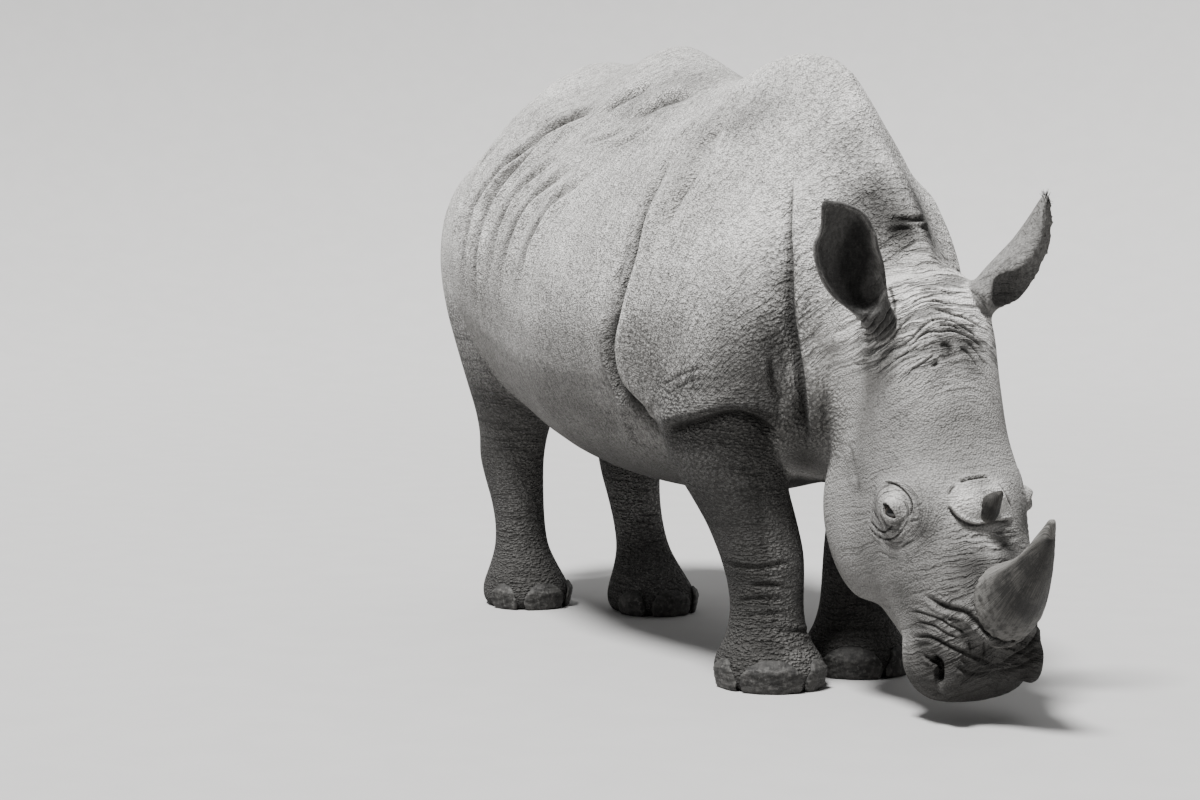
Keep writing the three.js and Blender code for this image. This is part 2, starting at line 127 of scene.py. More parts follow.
def keepLargest(piece):
    # only the biggest connected surface stays
    shape = bmesh.new()
    shape.from_mesh(piece.data)
    left, best = set(shape.verts), set()
    while left:
        group, waiting = set(), [left.pop()]
        while waiting:
            vertex = waiting.pop()
            group.add(vertex)
            others = {edge.other_vert(vertex) for edge in vertex.link_edges} & left
            left -= others
            waiting.extend(others)
        best = max(best, group, key=len)
    bmesh.ops.delete(shape, geom=[v for v in shape.verts if v not in best], context="VERTS")
    shape.to_mesh(piece.data)
    shape.free()
    return piece


def refined(piece, centres, radius):
    # faces near the centres are cut in four
    shape = bmesh.new()
    shape.from_mesh(piece.data)
    near = set()
    for centre in centres:
        spot = Vector(centre)
        near.update(v for v in shape.verts if (v.co - spot).length_squared < radius * radius)
    edges = [edge for edge in shape.edges if edge.verts[0] in near and edge.verts[1] in near]
    bmesh.ops.subdivide_edges(shape, edges=edges, cuts=1, use_grid_fill=True)
    bmesh.ops.triangulate(shape, faces=[face for face in shape.faces if len(face.verts) > 4])
    shape.to_mesh(piece.data)
    shape.free()
    return piece


def pointsOf(mesh):
    values = np.empty(len(mesh.vertices) * 3)
    mesh.vertices.foreach_get("co", values)
    return values.reshape(-1, 3)


def setPoints(mesh, points):
    mesh.vertices.foreach_set("co", np.ascontiguousarray(points, np.float32).ravel())
    mesh.update()


def normalsOf(mesh):
    values = np.empty(len(mesh.vertices) * 3, np.float32)
    mesh.vertex_normals.foreach_get("vector", values)
    return values.reshape(-1, 3).astype(float)


def apart(points, centre):
    return np.linalg.norm(points - np.asarray(centre), axis=1)


class Net:
    # averages over each point's neighbours along the edges
    def __init__(self, mesh):
        links = np.empty(len(mesh.edges) * 2, np.int32)
        mesh.edges.foreach_get("vertices", links)
        links = links.reshape(-1, 2)
        self.here = np.concatenate([links[:, 0], links[:, 1]])
        self.there = np.concatenate([links[:, 1], links[:, 0]])
        self.count = len(mesh.vertices)
        self.degree = np.maximum(np.bincount(self.here, minlength=self.count), 1)

    def mean(self, values):
        columns = values.reshape(self.count, -1).T
        sums = [np.bincount(self.here, c[self.there], minlength=self.count) for c in columns]
        return (np.array(sums) / self.degree).T.reshape(values.shape)

    def smooth(self, values, strength, rounds):
        weight = strength if np.ndim(strength) == 0 or values.ndim == 1 else strength[:, None]
        for _ in range(rounds):
            values = values + weight * (self.mean(values) - values)
        return values


def ramp(values, low, high):
    share = np.clip((values - low) / (high - low), 0, 1)
    return share * share * (3 - 2 * share)


def bell(place, size, middle=0.0):
    return np.exp(-((place - middle) / size) ** 2)


def setAttribute(mesh, name, values):
    attribute = mesh.attributes.get(name) or mesh.attributes.new(name, "FLOAT", "POINT")
    attribute.data.foreach_set("value", np.ascontiguousarray(values, np.float32))


def shadeSmooth(mesh):
    mesh.polygons.foreach_set("use_smooth", np.ones(len(mesh.polygons), bool))


def softened(mesh, rounds, kept=1.0):
    # facets worn away, with the lost volume or a share of it given back
    net, points = Net(mesh), pointsOf(mesh)
    relaxed = net.smooth(points, 0.5, rounds)
    setPoints(mesh, relaxed + net.smooth(points - relaxed, 0.5, rounds) * kept)
    return pointsOf(mesh)


def dress(piece, finish, slot, *replaced):
    piece.data.materials.clear()
    piece.data.materials.append(finish)
    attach(piece, "root")
    if replaced:
        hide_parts(*replaced)


# the head's own frame: X down the face, Y to the left, Z out of the face
headSettings = {
    "poll": (0.9799, 0.005, 1.036),
    "turn": -4, "tilt": 74, "twist": 3,
    "length": 0.955,
}
headPlace = (Matrix.Translation(headSettings["poll"])
             @ Matrix.Rotation(math.radians(headSettings["turn"]), 4, "Z")
             @ Matrix.Rotation(math.radians(headSettings["tilt"]), 4, "Y")
             @ Matrix.Rotation(math.radians(headSettings["twist"]), 4, "Z"))
headAxes = np.array(headPlace.to_3x3())
headOrigin = np.array(headPlace.translation)


def toHead(points):
    return (np.asarray(points) - headOrigin) @ headAxes


def fromHead(points):
    return np.asarray(points) @ headAxes.T + headOrigin


def mirrored(points, onHead, sign=-1):
    # over the head's middle plane or the trunk's; a sign of 1 leaves them where they are
    if onHead:
        return fromHead(toHead(points) * (1, sign, 1))
    return np.asarray(points) * (1, sign, 1)


def surfaceTree(mesh):
    shape = bmesh.new()
    shape.from_mesh(mesh)
    tree = BVHTree.FromBMesh(shape)
    shape.free()
    return tree


def seen(tree, line):
    # where the lines of sight through a line's pixels meet the skin
    found = []
    for x, y in line:
        origin, direction = sightLine(x, y)
        place, normal, _, _ = tree.ray_cast(origin, direction)
        if place is not None and normal.dot(direction) < -0.05:
            found.append(place)
    return found


# skin: one surface over every node of flesh
skinSettings = {
    "voxel": 0.006,
    "triangles": 190000,
    "grow": 0.0012,
    "bodyRelax": 0.5,      # how strongly facets are worn away, by region
    "headRelax": 0.22,
    "fineRelax": 0.035,    # round the eyes, nostrils and lips
    "earRelax": 0.09,
    "closeRelax": 0.4,     # added where the faces are smaller
    "rounds": 110,
    "kept": 0.9,           # share of the worn volume that is given back
    # where the faces are cut smaller: pixel place and radius in metres
    "closeUps": [((930, 335), 0.18), ((985, 505), 0.09), ((970, 640), 0.16), ((890, 515), 0.09)],
    "eyeCuts": (0.085, 0.055),   # radii in which they are cut smaller round the eyes
    # metres over which the fine relaxing ends, and where the nostrils and the lips' edges lie
    "eyeReach": (0.045, 0.09), "nostrilReach": (0.05, 0.11), "lipReach": (0.03, 0.06),
    "nostril": (0.945, 0.128, -0.096), "lipRun": (0.70, 0.78), "lipHeight": -0.19,
}
earNodes = ["right_ear", "left_ear"]
earFacing = {"right_ear": (0.9, -0.44, 0), "left_ear": (0.74, 0.66, 0.1)}
headNodes = ["head", "lower_jaw"]
footNodes = [f"{side}_{foot}" for side in ("right", "left") for foot in ("forefoot", "hindfoot")]
legNodes = [f"{side}_{leg}" for side in ("right", "left") for leg in ("foreleg", "hindleg")]
fleshNodes = ["torso", "neck", "tail"] + headNodes + earNodes + legNodes + footNodes


def nearestNode(points, members):
    # which of the members each point lies on
    corners, faces, owner = [], [], []
    for number, member in enumerate(members):
        mesh = cadNodes[member].data
        start = len(corners)
        corners.extend(vertex.co.copy() for vertex in mesh.vertices)
        for face in mesh.polygons:
            faces.append([start + i for i in face.vertices])
            owner.append(number)
    tree = BVHTree.FromPolygons(corners, faces)
    return np.array([owner[tree.find_nearest(Vector(p))[2]] for p in points])


def eyeSpots():
    spots = {}
    for side in ("right", "left"):
        low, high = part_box(f"{side}_eye")
        spots[side] = np.array((low + high) / 2)
    return spots


eyes = eyeSpots()
skin = joinedCopy("rhinoSkin", fleshNodes, skinSettings["grow"])
skin = keepLargest(remeshed(skin, skinSettings["voxel"]))
roughTree = surfaceTree(skin.data)
closeUps = [(seen(roughTree, [pixel])[0], radius) for pixel, radius in skinSettings["closeUps"]]
for centre, radius in closeUps:
    refined(skin, [centre], radius)
for radius in skinSettings["eyeCuts"]:
    refined(skin, eyes.values(), radius)
points = pointsOf(skin.data)
print("skin remeshed:", len(points), "points")

label = nearestNode(points, fleshNodes)
net = Net(skin.data)


def region(names, rounds=12):
    inside = np.isin(label, [fleshNodes.index(name) for name in names]).astype(float)
    return net.smooth(inside, 0.5, rounds)


onHead = region(headNodes)
onEar = region(earNodes, 3)
headPoints = toHead(points)
fine = np.zeros(len(points))
for centre in eyes.values():
    fine = np.maximum(fine, 1 - ramp(apart(points, centre), *skinSettings["eyeReach"]))
down, aside, up = skinSettings["nostril"]
for sign in (-1, 1):
    away = apart(headPoints, (down * headSettings["length"], sign * aside, up))
    fine = np.maximum(fine, 1 - ramp(away, *skinSettings["nostrilReach"]))
lipAway = np.abs(headPoints[:, 2] - skinSettings["lipHeight"])
lipPlace = ramp(headPoints[:, 0], *skinSettings["lipRun"]) * onHead
fine = np.maximum(fine, lipPlace * (1 - ramp(lipAway, *skinSettings["lipReach"])))

relax = skinSettings["bodyRelax"] + (skinSettings["headRelax"] - skinSettings["bodyRelax"]) * onHead
for centre, radius in closeUps:
    inside = 1 - ramp(apart(points, centre), radius * 0.9, radius)
    relax = np.maximum(relax, skinSettings["closeRelax"] * inside)
relax = relax + (skinSettings["earRelax"] - relax) * onEar
relax = relax + (skinSettings["fineRelax"] - relax) * fine
relaxed = net.smooth(points, relax, skinSettings["rounds"])
lost = net.smooth(points - relaxed, 0.5, skinSettings["rounds"])
points = relaxed + lost * skinSettings["kept"]
setPoints(skin.data, points)
print("skin relaxed")

# eyelids: the skin drapes over each ball and opens in a slanting slit
lidSettings = {
    "ball": 0.0232,
    "thick": 0.0042,
    "halfLength": 0.0265,
    "upper": 0.0125,       # how far the upper and lower edges stand from the line between the corners
    "lower": 0.012,
    "shift": (-0.004, 0.002),   # of the slit from the middle of the ball, along it and upward
    "recess": 0.005,
    "brow": 0.006,         # swelling of the upper lid, its place along and above the ball, its size
    "browPlace": (0.001, 0.019),
    "browSize": 0.012,
    "reach": 0.075,        # round the ball's middle
    "blend": 0.004,        # rounding between lid and face
    "flat": 0.93,          # below 1 the lid bulges a little past the ball
    "edge": 0.98,          # share of the lid's shell that drapes
}


def eyeAxes(side):
    # along the slit, towards the upper lid, and outward
    sign = -1 if side == "right" else 1
    outward = Vector(headAxes @ np.array([-0.05, sign * 0.86, 0.5])).normalized()
    slit = Vector(headAxes @ np.array([0.78, sign * -0.34, 0.5]))
    slit = (slit - outward * slit.dot(outward)).normalized()
    upper = Vector(headAxes @ np.array([-0.7, 0, 0.5]))
    upper = (upper - outward * upper.dot(outward))
    upper = (upper - slit * upper.dot(slit)).normalized()
    return np.array([slit, upper, outward])


def makeLids(points, settings):
    for side, centre in eyes.items():
        axes = eyeAxes(side)
        near = np.where(apart(points, centre) < settings["reach"])[0]
        local = (points[near] - centre) @ axes.T
        along, up, out = local.T
        aside = along ** 2 + up ** 2
        shell = settings["ball"] + settings["thick"]
        drape = np.sqrt(np.maximum(shell ** 2 - aside * settings["flat"], 0))
        drape = np.where(aside < (shell * settings["edge"]) ** 2, drape, 0)
        fromBrow = apart(local[:, :2], settings["browPlace"])
        swelling = settings["brow"] * bell(fromBrow, settings["browSize"])
        blend = settings["blend"]
        raised = np.where(drape > 0, np.logaddexp(out / blend, drape / blend) * blend, out) + swelling
        run, rise = along - settings["shift"][0], up - settings["shift"][1]
        arch = np.clip(1 - (run / settings["halfLength"]) ** 2, 0, 1)
        above = rise - settings["upper"] * arch
        below = -rise - settings["lower"] * arch
        inside = (np.maximum(above, below) < 0) & (arch > 0)
        ballFront = np.sqrt(np.maximum(settings["ball"] ** 2 - aside, 0))
        sunk = np.minimum(out, ballFront - settings["recess"])
        local[:, 2] = np.where(inside, sunk, raised)
        points[near] = centre + local @ axes
    return points


points = makeLids(points, lidSettings)
setPoints(skin.data, points)
print("eyelids made")


# folds: widths and depths in mm, the rest for all those that don't say otherwise
foldDefaults = {
    "on": "trunk",   # trunk and head: also on the other side; face: only once
    "rim": 0.5,      # how much the skin rises beside it
    "lean": 0.0,     # which side is fuller; below zero, the right of a line that runs down
    "taper": 0.3,    # share of its length over which an end fades
    "sharp": 0,      # depth of a narrow cleft in it
    "roll": 0,       # height of a broad roll on the fuller side
    "step": 0, "stepReach": 0,   # how much higher that side stands, and how far
    "valleyShade": 1,      # painted shade in its valley
    "foldLightAndShade": 0,     # painted light on the fuller side, painted shade on the other
    "far": 1.0,      # share of it on the far side
}
# the profile across a fold, in its widths: how broad its parts are, and how far from its middle
# the band beside a fold takes its painted light on one side and painted shade on the other
foldProfile = {"bank": (1.15, 2.1), "roll": (2.6, 3), "dustAndLight": (1.1, 1.2), "cleft": 0.35,
               "reach": 4.5, "rollReach": 8, "stepReach": 2.2}
# lines: the pixels of 1200 x 800 where the camera sees each fold run, with a stroke between folds
foldSettings = {
    # a second, thin roll of skin behind the shoulder's edge
    "shoulderRoll": dict(width=14, depth=-18, rim=0.0, taper=0.2, lines=(
        "604,300 602,322 603,340 606,362 613,382 621,400 626,420 633,438 645,447 657,453")),
    # the folds of the rump, each crisp, with painted light on the side towards the head
    "hipRear": dict(width=13, depth=9, rim=0.6, lean=-0.5, taper=0.35, valleyShade=0.3, foldLightAndShade=0.2, far=0.2,
                    lines=(
        "484,136 474,147 466,160 461,176 458,195 457,218 457,245 / "
        "508,136 496,147 486,158 478,172 471,190 466,208 463,228 462,252 463,275")),
    "hip": dict(width=14, depth=19, rim=0.6, lean=-0.5, valleyShade=0.5, foldLightAndShade=0.3, far=0.5, lines=(
        "576,124 562,131 543,145 526,161 511,177 498,195 489,213 483,231 479,251 477,275 478,300 "
        "480,325")),
    "hipDeep": dict(width=18, depth=27, lean=-0.5, taper=0.25, sharp=5, valleyShade=0.6, foldLightAndShade=0.3,
                    far=0.55, lines=(
        "600,108 580,116 564,124 550,132 536,143 521,155 508,165 496,178 486,191 478,204 473,218 "
        "470,232 467,248 466,264 467,284 470,305")),
    "hipSoft": dict(width=16, depth=20, rim=0.65, lean=-0.45, taper=0.45, valleyShade=0.42, foldLightAndShade=0.34,
                    far=0.5, lines=(
        "572,146 556,158 541,171 527,184 515,198 507,213 500,229 495,246 491,264 489,285 489,306 / "
        "584,160 566,172 551,184 538,196 527,210 518,226 511,242 506,258 502,276 501,296 501,316 / "
        "596,172 578,184 564,194 553,205 544,219 536,234 529,249 524,264 520,280 518,298 517,316")),
    # hollows below the spine
    "back": dict(width=20, depth=18, rim=0.4, lean=-0.3, taper=0.35, valleyShade=0.7, foldLightAndShade=0.2, far=0.5,
                 lines=(
        "596,113 607,108 618,101 630,95 644,88 658,82 / "
        "622,121 634,115 648,109 662,102 678,97 700,94")),
    "backFine": dict(width=8, depth=6, taper=0.35, valleyShade=0.6, lines=(
        "518,137 534,129 550,121 567,114 584,108 / "
        "575,148 592,142 610,136 628,130 / "
        "600,150 618,145 634,137 650,128 664,120 / "
        "664,150 680,138 694,124 708,112 720,102 / "
        "690,158 702,144 714,130 724,116 / "
        "650,182 662,166 674,152 688,140")),
    "shoulder": dict(width=21, depth=34, rim=0.12, lean=-0.65, roll=7, taper=0.2, step=4, stepReach=80,
                     sharp=8, foldLightAndShade=0.2, lines=(
        "672,156 666,168 655,190 647,209 641,227 637,245 633,261 628,277 622,298 618,314 614,328 "
        "612,343 613,359 616,373 622,386 632,398 644,409 655,422 662,436 668,450")),
    "shoulderBack": dict(width=9, depth=9, lean=-0.2, valleyShade=0.7, lines=(
        "640,214 635,230 628,248 621,266 616,284 612,300 / "
        "646,196 640,212 634,228 628,244 / "
        "700,160 690,180 678,200 668,222 660,246")),
    "blade": dict(width=26, depth=14, rim=0.3, lean=-0.1, valleyShade=0.35, foldLightAndShade=0.1, lines=(
        "743,84 728,110 712,136 700,162 684,190 668,217 660,245 655,272")),
    "neck": dict(width=14, depth=22, rim=0.1, lean=-0.8, roll=8, taper=0.15, step=13, stepReach=80,
                 sharp=4, lines=(
        "792,172 791,200 790,230 791,260 791,290 793,320 797,345 801,370 804,400 807,430 812,452")),
    "chest": dict(width=8, depth=12, lean=0.2, sharp=2, lines=(
        "779,300 782,322 785,350 790,380 798,410 806,440 / "
        "797,300 801,330 808,355 816,376 822,396 823,420 821,442 / "
        "770,350 772,375 778,400 786,425 / "
        "806,250 808,275 811,300 815,325 819,345 / "
        "786,215 784,245 783,275 784,300")),
    "armpit": dict(width=12, depth=20, rim=0.1, lean=-0.8, roll=8, taper=0.15, step=12, stepReach=60,
                   sharp=3, lines=(
        "664,432 680,425 700,420 720,414 737,412 750,415 763,422 776,433 786,447")),
    "elbow": dict(width=5, depth=3.5, lines=(
        "662,418 671,406 680,396 692,389 704,387 716,390 / "
        "660,405 670,394 682,386 696,380 712,379 728,384 / "
        "656,392 668,382 684,373 702,369 722,371 / "
        "726,396 742,392 758,396 770,406")),
    "nape": dict(width=6, depth=6, lines=(
        "879,226 890,223 902,221 914,220 925,219 / "
        "882,232 894,230 906,228 918,228")),
    "leg": dict(width=6, depth=3.5, lines=(
        "738,620 752,616 770,614 790,615 806,620 / "
        "733,603 750,600 770,599 790,600 806,604 / "
        "728,588 745,586 768,585 790,586 806,590 / "
        "742,634 756,630 775,629 795,632 812,638 / "
        "722,560 738,566 756,568 776,565 798,560 / "
        "722,648 745,643 768,645 790,650 815,652")),
    # the face's own folds, and on the head those that both its sides have
    "brow": dict(on="face", width=3.0, depth=4.0, taper=0.25, valleyShade=0.75, lines=(
        "914,294 920,291 930,289 940,290 949,294 956,300 / "
        "861,354 872,350 883,345 893,337 900,328 908,320 917,314 926,315 / "
        "868,359 880,354 892,350 903,345 912,339 918,332 924,326 932,321 942,319 952,321 961,326 "
        "970,332 981,341 991,353 / "
        "902,359 907,351 914,343 921,336 930,332 940,332 950,331 959,333 968,337 977,343 985,353 "
        "990,362 / "
        "922,310 932,309 942,311 954,315 966,319 977,325 987,333 997,343 / "
        "936,327 945,325 953,326 961,332 / "
        "966,283 973,291 981,300 989,312 996,326 / "
        "972,287 980,298 987,310 993,322 / "
        "846,360 858,364 872,362 886,357 898,352 / "
        "888,362 900,357 912,350 922,343 / "
        "956,345 966,352 974,361 980,372 / "
        "962,340 972,347 981,358 987,368 / "
        "905,374 917,367 929,359 938,352 / "
        "924,303 934,301 944,303 953,308")),
    "browHollow": dict(on="face", width=5.5, depth=5, rim=0.4, lines=(
        "939,350 944,345 949,347 953,355 / "
        "931,368 936,364 940,361")),
    "earBase": dict(on="face", width=4, depth=5, lines=(
        "852,343 863,342 874,338 883,332 890,325 894,317 895,308 893,298 890,289 886,282 881,279 / "
        "855,337 868,334 878,328 885,320 889,311 890,302 / "
        "854,330 864,328 874,322 880,314 884,304 / "
        "857,322 866,318 873,311 878,303 / "
        "976,289 983,297 988,307 993,318")),
    "lid": dict(on="head", width=2.8, depth=4.2, rim=0.6, taper=0.2, lines=(
        "881,485 889,483 896,485 903,490 909,497 912,505 911,513 906,521 / "
        "867,513 870,520 876,527 883,532 889,529 894,523 / "
        "866,516 869,526 875,534 883,539 891,539 898,535 904,529 908,525")),
    "lidSoft": dict(on="head", width=3.2, depth=2.2, rim=0.6, lines=(
        "877,546 885,554 896,559 904,557 / "
        "898,550 909,543 919,539 / "
        "914,509 918,506 923,503 / "
        "908,523 914,521 921,520 / "
        "870,506 874,512 879,520 884,525 / "
        "911,557 917,552 922,547")),
    "temple": dict(on="head", width=9, depth=6, valleyShade=0.5, lines=(
        "846,440 850,450 853,462 855,474 858,486 861,495")),
    "boss": dict(on="face", width=3.6, depth=7.5, rim=0.3, lean=-0.6, taper=0.15, step=4, stepReach=22,
                 lines=(
        "945,500 949,507 954,514 961,520 970,524 980,525 990,522 1002,521 1015,520")),
    "bossCrack": dict(on="face", width=3.6, depth=9, rim=0.3, taper=0.15, lines=(
        "958,483 965,480 975,478 984,477 991,478")),
    "bossRim": dict(on="face", width=3.6, depth=4.5, rim=0.3, lean=0.3, lines=(
        "992,480 1000,485 1006,495 1012,507 1017,517 / "
        "948,497 951,490 957,484")),
    "bridge": dict(on="face", width=4, depth=3, lines=(
        "982,554 992,552 1000,549 1008,543 1016,541 / "
        "990,536 1000,533 1010,532 1020,536 / "
        "1003,540 1012,537 1021,537")),
    "hornFoot": dict(on="face", width=6.5, depth=10, rim=0.4, lean=0.4, taper=0.2, lines=(
        "918,593 930,599 940,605 950,609 960,611 968,614 975,621 982,628 990,635 1000,640 1010,642 "
        "1022,641 1032,636 1040,628")),
    "muzzle": dict(on="head", width=3.2, depth=3.6, rim=0.6, taper=0.25, lines=(
        "908,612 918,612 928,615 940,619 949,625 958,629 967,635 977,641 / "
        "914,620 924,623 934,626 942,631 951,636 965,639 / "
        "946,620 953,619 962,621 / "
        "968,640 970,648 969,656 / "
        "952,637 954,645 / "
        "983,640 984,650 981,660")),
    "muzzleDeep": dict(on="head", width=4.6, depth=7, lean=0.3, taper=0.2, lines=(
        "912,638 920,637 928,637 936,640 947,646 958,651 970,656 981,660 991,664 1000,664 / "
        "922,656 929,659 936,663 942,668")),
    "lipFold": dict(on="head", width=5, depth=5, lines=(
        "950,660 957,667 966,672 978,674 990,672 1000,670")),
    "muzzleFront": dict(on="face", width=4, depth=4.5, rim=0.6, lines=(
        "994,645 1006,647 1018,646 1030,643 / "
        "1010,658 1022,656 1031,651 1039,645 / "
        "1004,668 1016,668 1028,662 1038,654")),
}


def rowsOf(text):
    # "1,2 3,4" as tuples of numbers
    return [tuple(float(value) for value in group.split(",")) for group in text.split()]


def curveThrough(stops, spacing=0.004):
    # an even, rounded line through a few places
    stops = np.asarray(stops, float)
    padded = np.vstack([2 * stops[0] - stops[1], stops, 2 * stops[-1] - stops[-2]])
    line = []
    for i in range(len(stops) - 1):
        a, b, c, d = padded[i:i + 4]
        steps = max(int(np.linalg.norm(c - b) / spacing), 2)
        t = (np.arange(steps) / steps)[:, None]
        line.append(0.5 * (2 * b + (c - a) * t + (2 * a - 5 * b + 4 * c - d) * t ** 2
                           + (3 * b - a - 3 * c + d) * t ** 3))
    line.append(stops[-1:])
    return np.vstack(line)


def settled(tree, line):
    # each place of a line moved onto the skin, and the skin's direction there
    places, normals = [], []
    for point in line:
        place, normal, _, _ = tree.find_nearest(Vector(point))
        places.append(place)
        normals.append(normal)
    return np.array(places), np.array(normals)


def carve(points, normals, creaseShade, foldLightAndShade, line, facing, fold):
    width, depth = fold["width"] / 1000, fold["depth"] / 1000
    step, stepReach = fold["step"] / 1000, fold["stepReach"] / 1000
    reach = max(foldProfile["rollReach" if fold["roll"] else "reach"] * width,
                foldProfile["stepReach"] * stepReach)
    near = np.where(np.all((points > line.min(0) - reach) & (points < line.max(0) + reach), axis=1))[0]
    if len(near) == 0:
        return
    away = np.empty(len(near))
    nearest = np.zeros(len(near), int)
    blockSize = 4000   # points compared with the line at once
    for start in range(0, len(near), blockSize):
        block = slice(start, start + blockSize)
        gaps = np.linalg.norm(points[near[block]][:, None, :] - line[None, :, :], axis=2)
        nearest[block] = gaps.argmin(1)
        away[block] = gaps.min(1)
    close = away < reach
    near, away, nearest = near[close], away[close], nearest[close]
    along = np.gradient(line, axis=0)
    share = nearest / (len(line) - 1)
    fade = ramp(np.minimum(share, 1 - share), 0.0, fold["taper"])
    same = ramp(np.sum(normals[near] * facing[nearest], axis=1), 0.0, 0.5)
    beside = np.sum(np.cross(along[nearest], facing[nearest]) * (points[near] - line[nearest]), axis=1)
    side = np.tanh(beside / (np.linalg.norm(along[nearest], axis=1) * width * 0.6 + 1e-9))
    lean = fold["lean"] * side
    # steep towards the fuller side, gentle on the other, and narrower towards the ends
    reachHere = width * (0.5 + 0.5 * fade) * (1 - 0.5 * lean)
    valley = bell(away, reachHere)
    groove = fold["sharp"] / 1000 * bell(away, foldProfile["cleft"] * reachHere)
    bank = bell(away / width, *foldProfile["bank"]) * (1 + lean)
    # a heavy fold also rolls out broadly on its fuller side
    roll = fold["roll"] / 1000 * ramp(side * np.sign(fold["lean"] or 1), -0.2, 1)
    roll = roll * bell(away / width, *foldProfile["roll"])
    # and the skin stands higher on that side than on the other
    if step:
        roll = roll + step * side * np.sign(fold["lean"]) * bell(away, stepReach)
    strength = fade * same
    height = strength * (depth * (fold["rim"] * bank - valley) - groove + roll)
    points[near] += normals[near] * height[:, None]
    # the valley and the cleft are darkened with painted shade
    valleyShade = fold["valleyShade"] * min(1.0, max(0.0, depth) / width)
    np.maximum.at(creaseShade, near, strength * (valley * valleyShade + groove / 0.006 * 0.4))
    # painted light on the fuller side of a fold and painted shade on the other
    turned = side * np.sign(fold["lean"]) * bell(away / width, *foldProfile["dustAndLight"])
    foldLightAndShade[near] += fold["foldLightAndShade"] * strength * turned


def foldSkin(mesh, points):
    tree = surfaceTree(mesh)
    normals = normalsOf(mesh)
    creaseShade, foldLightAndShade = np.zeros(len(points)), np.zeros(len(points))
    made = 0
    for settings in foldSettings.values():
        fold = foldDefaults | settings
        for line in fold["lines"].split("/"):
            stops = seen(tree, rowsOf(line))
            if len(stops) < 3:
                continue
            curve = curveThrough(stops)
            for sign in (1,) if fold["on"] == "face" else (1, -1):
                places, facing = settled(tree, mirrored(curve, fold["on"] != "trunk", sign))
                share = fold["far"] if sign < 0 else 1.0
                handed = {"lean": fold["lean"] * sign, "depth": fold["depth"] * share,
                          "foldLightAndShade": fold["foldLightAndShade"] * share}
                carve(points, normals, creaseShade, foldLightAndShade, places, facing, fold | handed)
                made += 1
    print("folds made:", made)
    return points, creaseShade, foldLightAndShade, tree


# low mounds on the head, each paired: pixel place, radius and height in mm
swellings = {"nostrilWing": ((924, 674), 17, 7), "nostrilRim": ((934, 649), 14, 5),
             "noseBridge": ((999, 539), 22, 4)}


def swell(points):
    tree = surfaceTree(skin.data)
    normals = normalsOf(skin.data)
    for pixel, radius, height in swellings.values():
        here = np.array(seen(tree, [pixel])[0])
        for sign in (1, -1):
            away = apart(points, mirrored(here, True, sign))
            lift = bell(away, radius / 1000) * height / 1000
            points = points + normals * lift[:, None]
    return points


points = swell(points)
setPoints(skin.data, points)
points, creaseShade, foldLightAndShade, bareTree = foldSkin(skin.data, points)
points[:, 2] = np.maximum(points[:, 2], 0.0)
setPoints(skin.data, points)


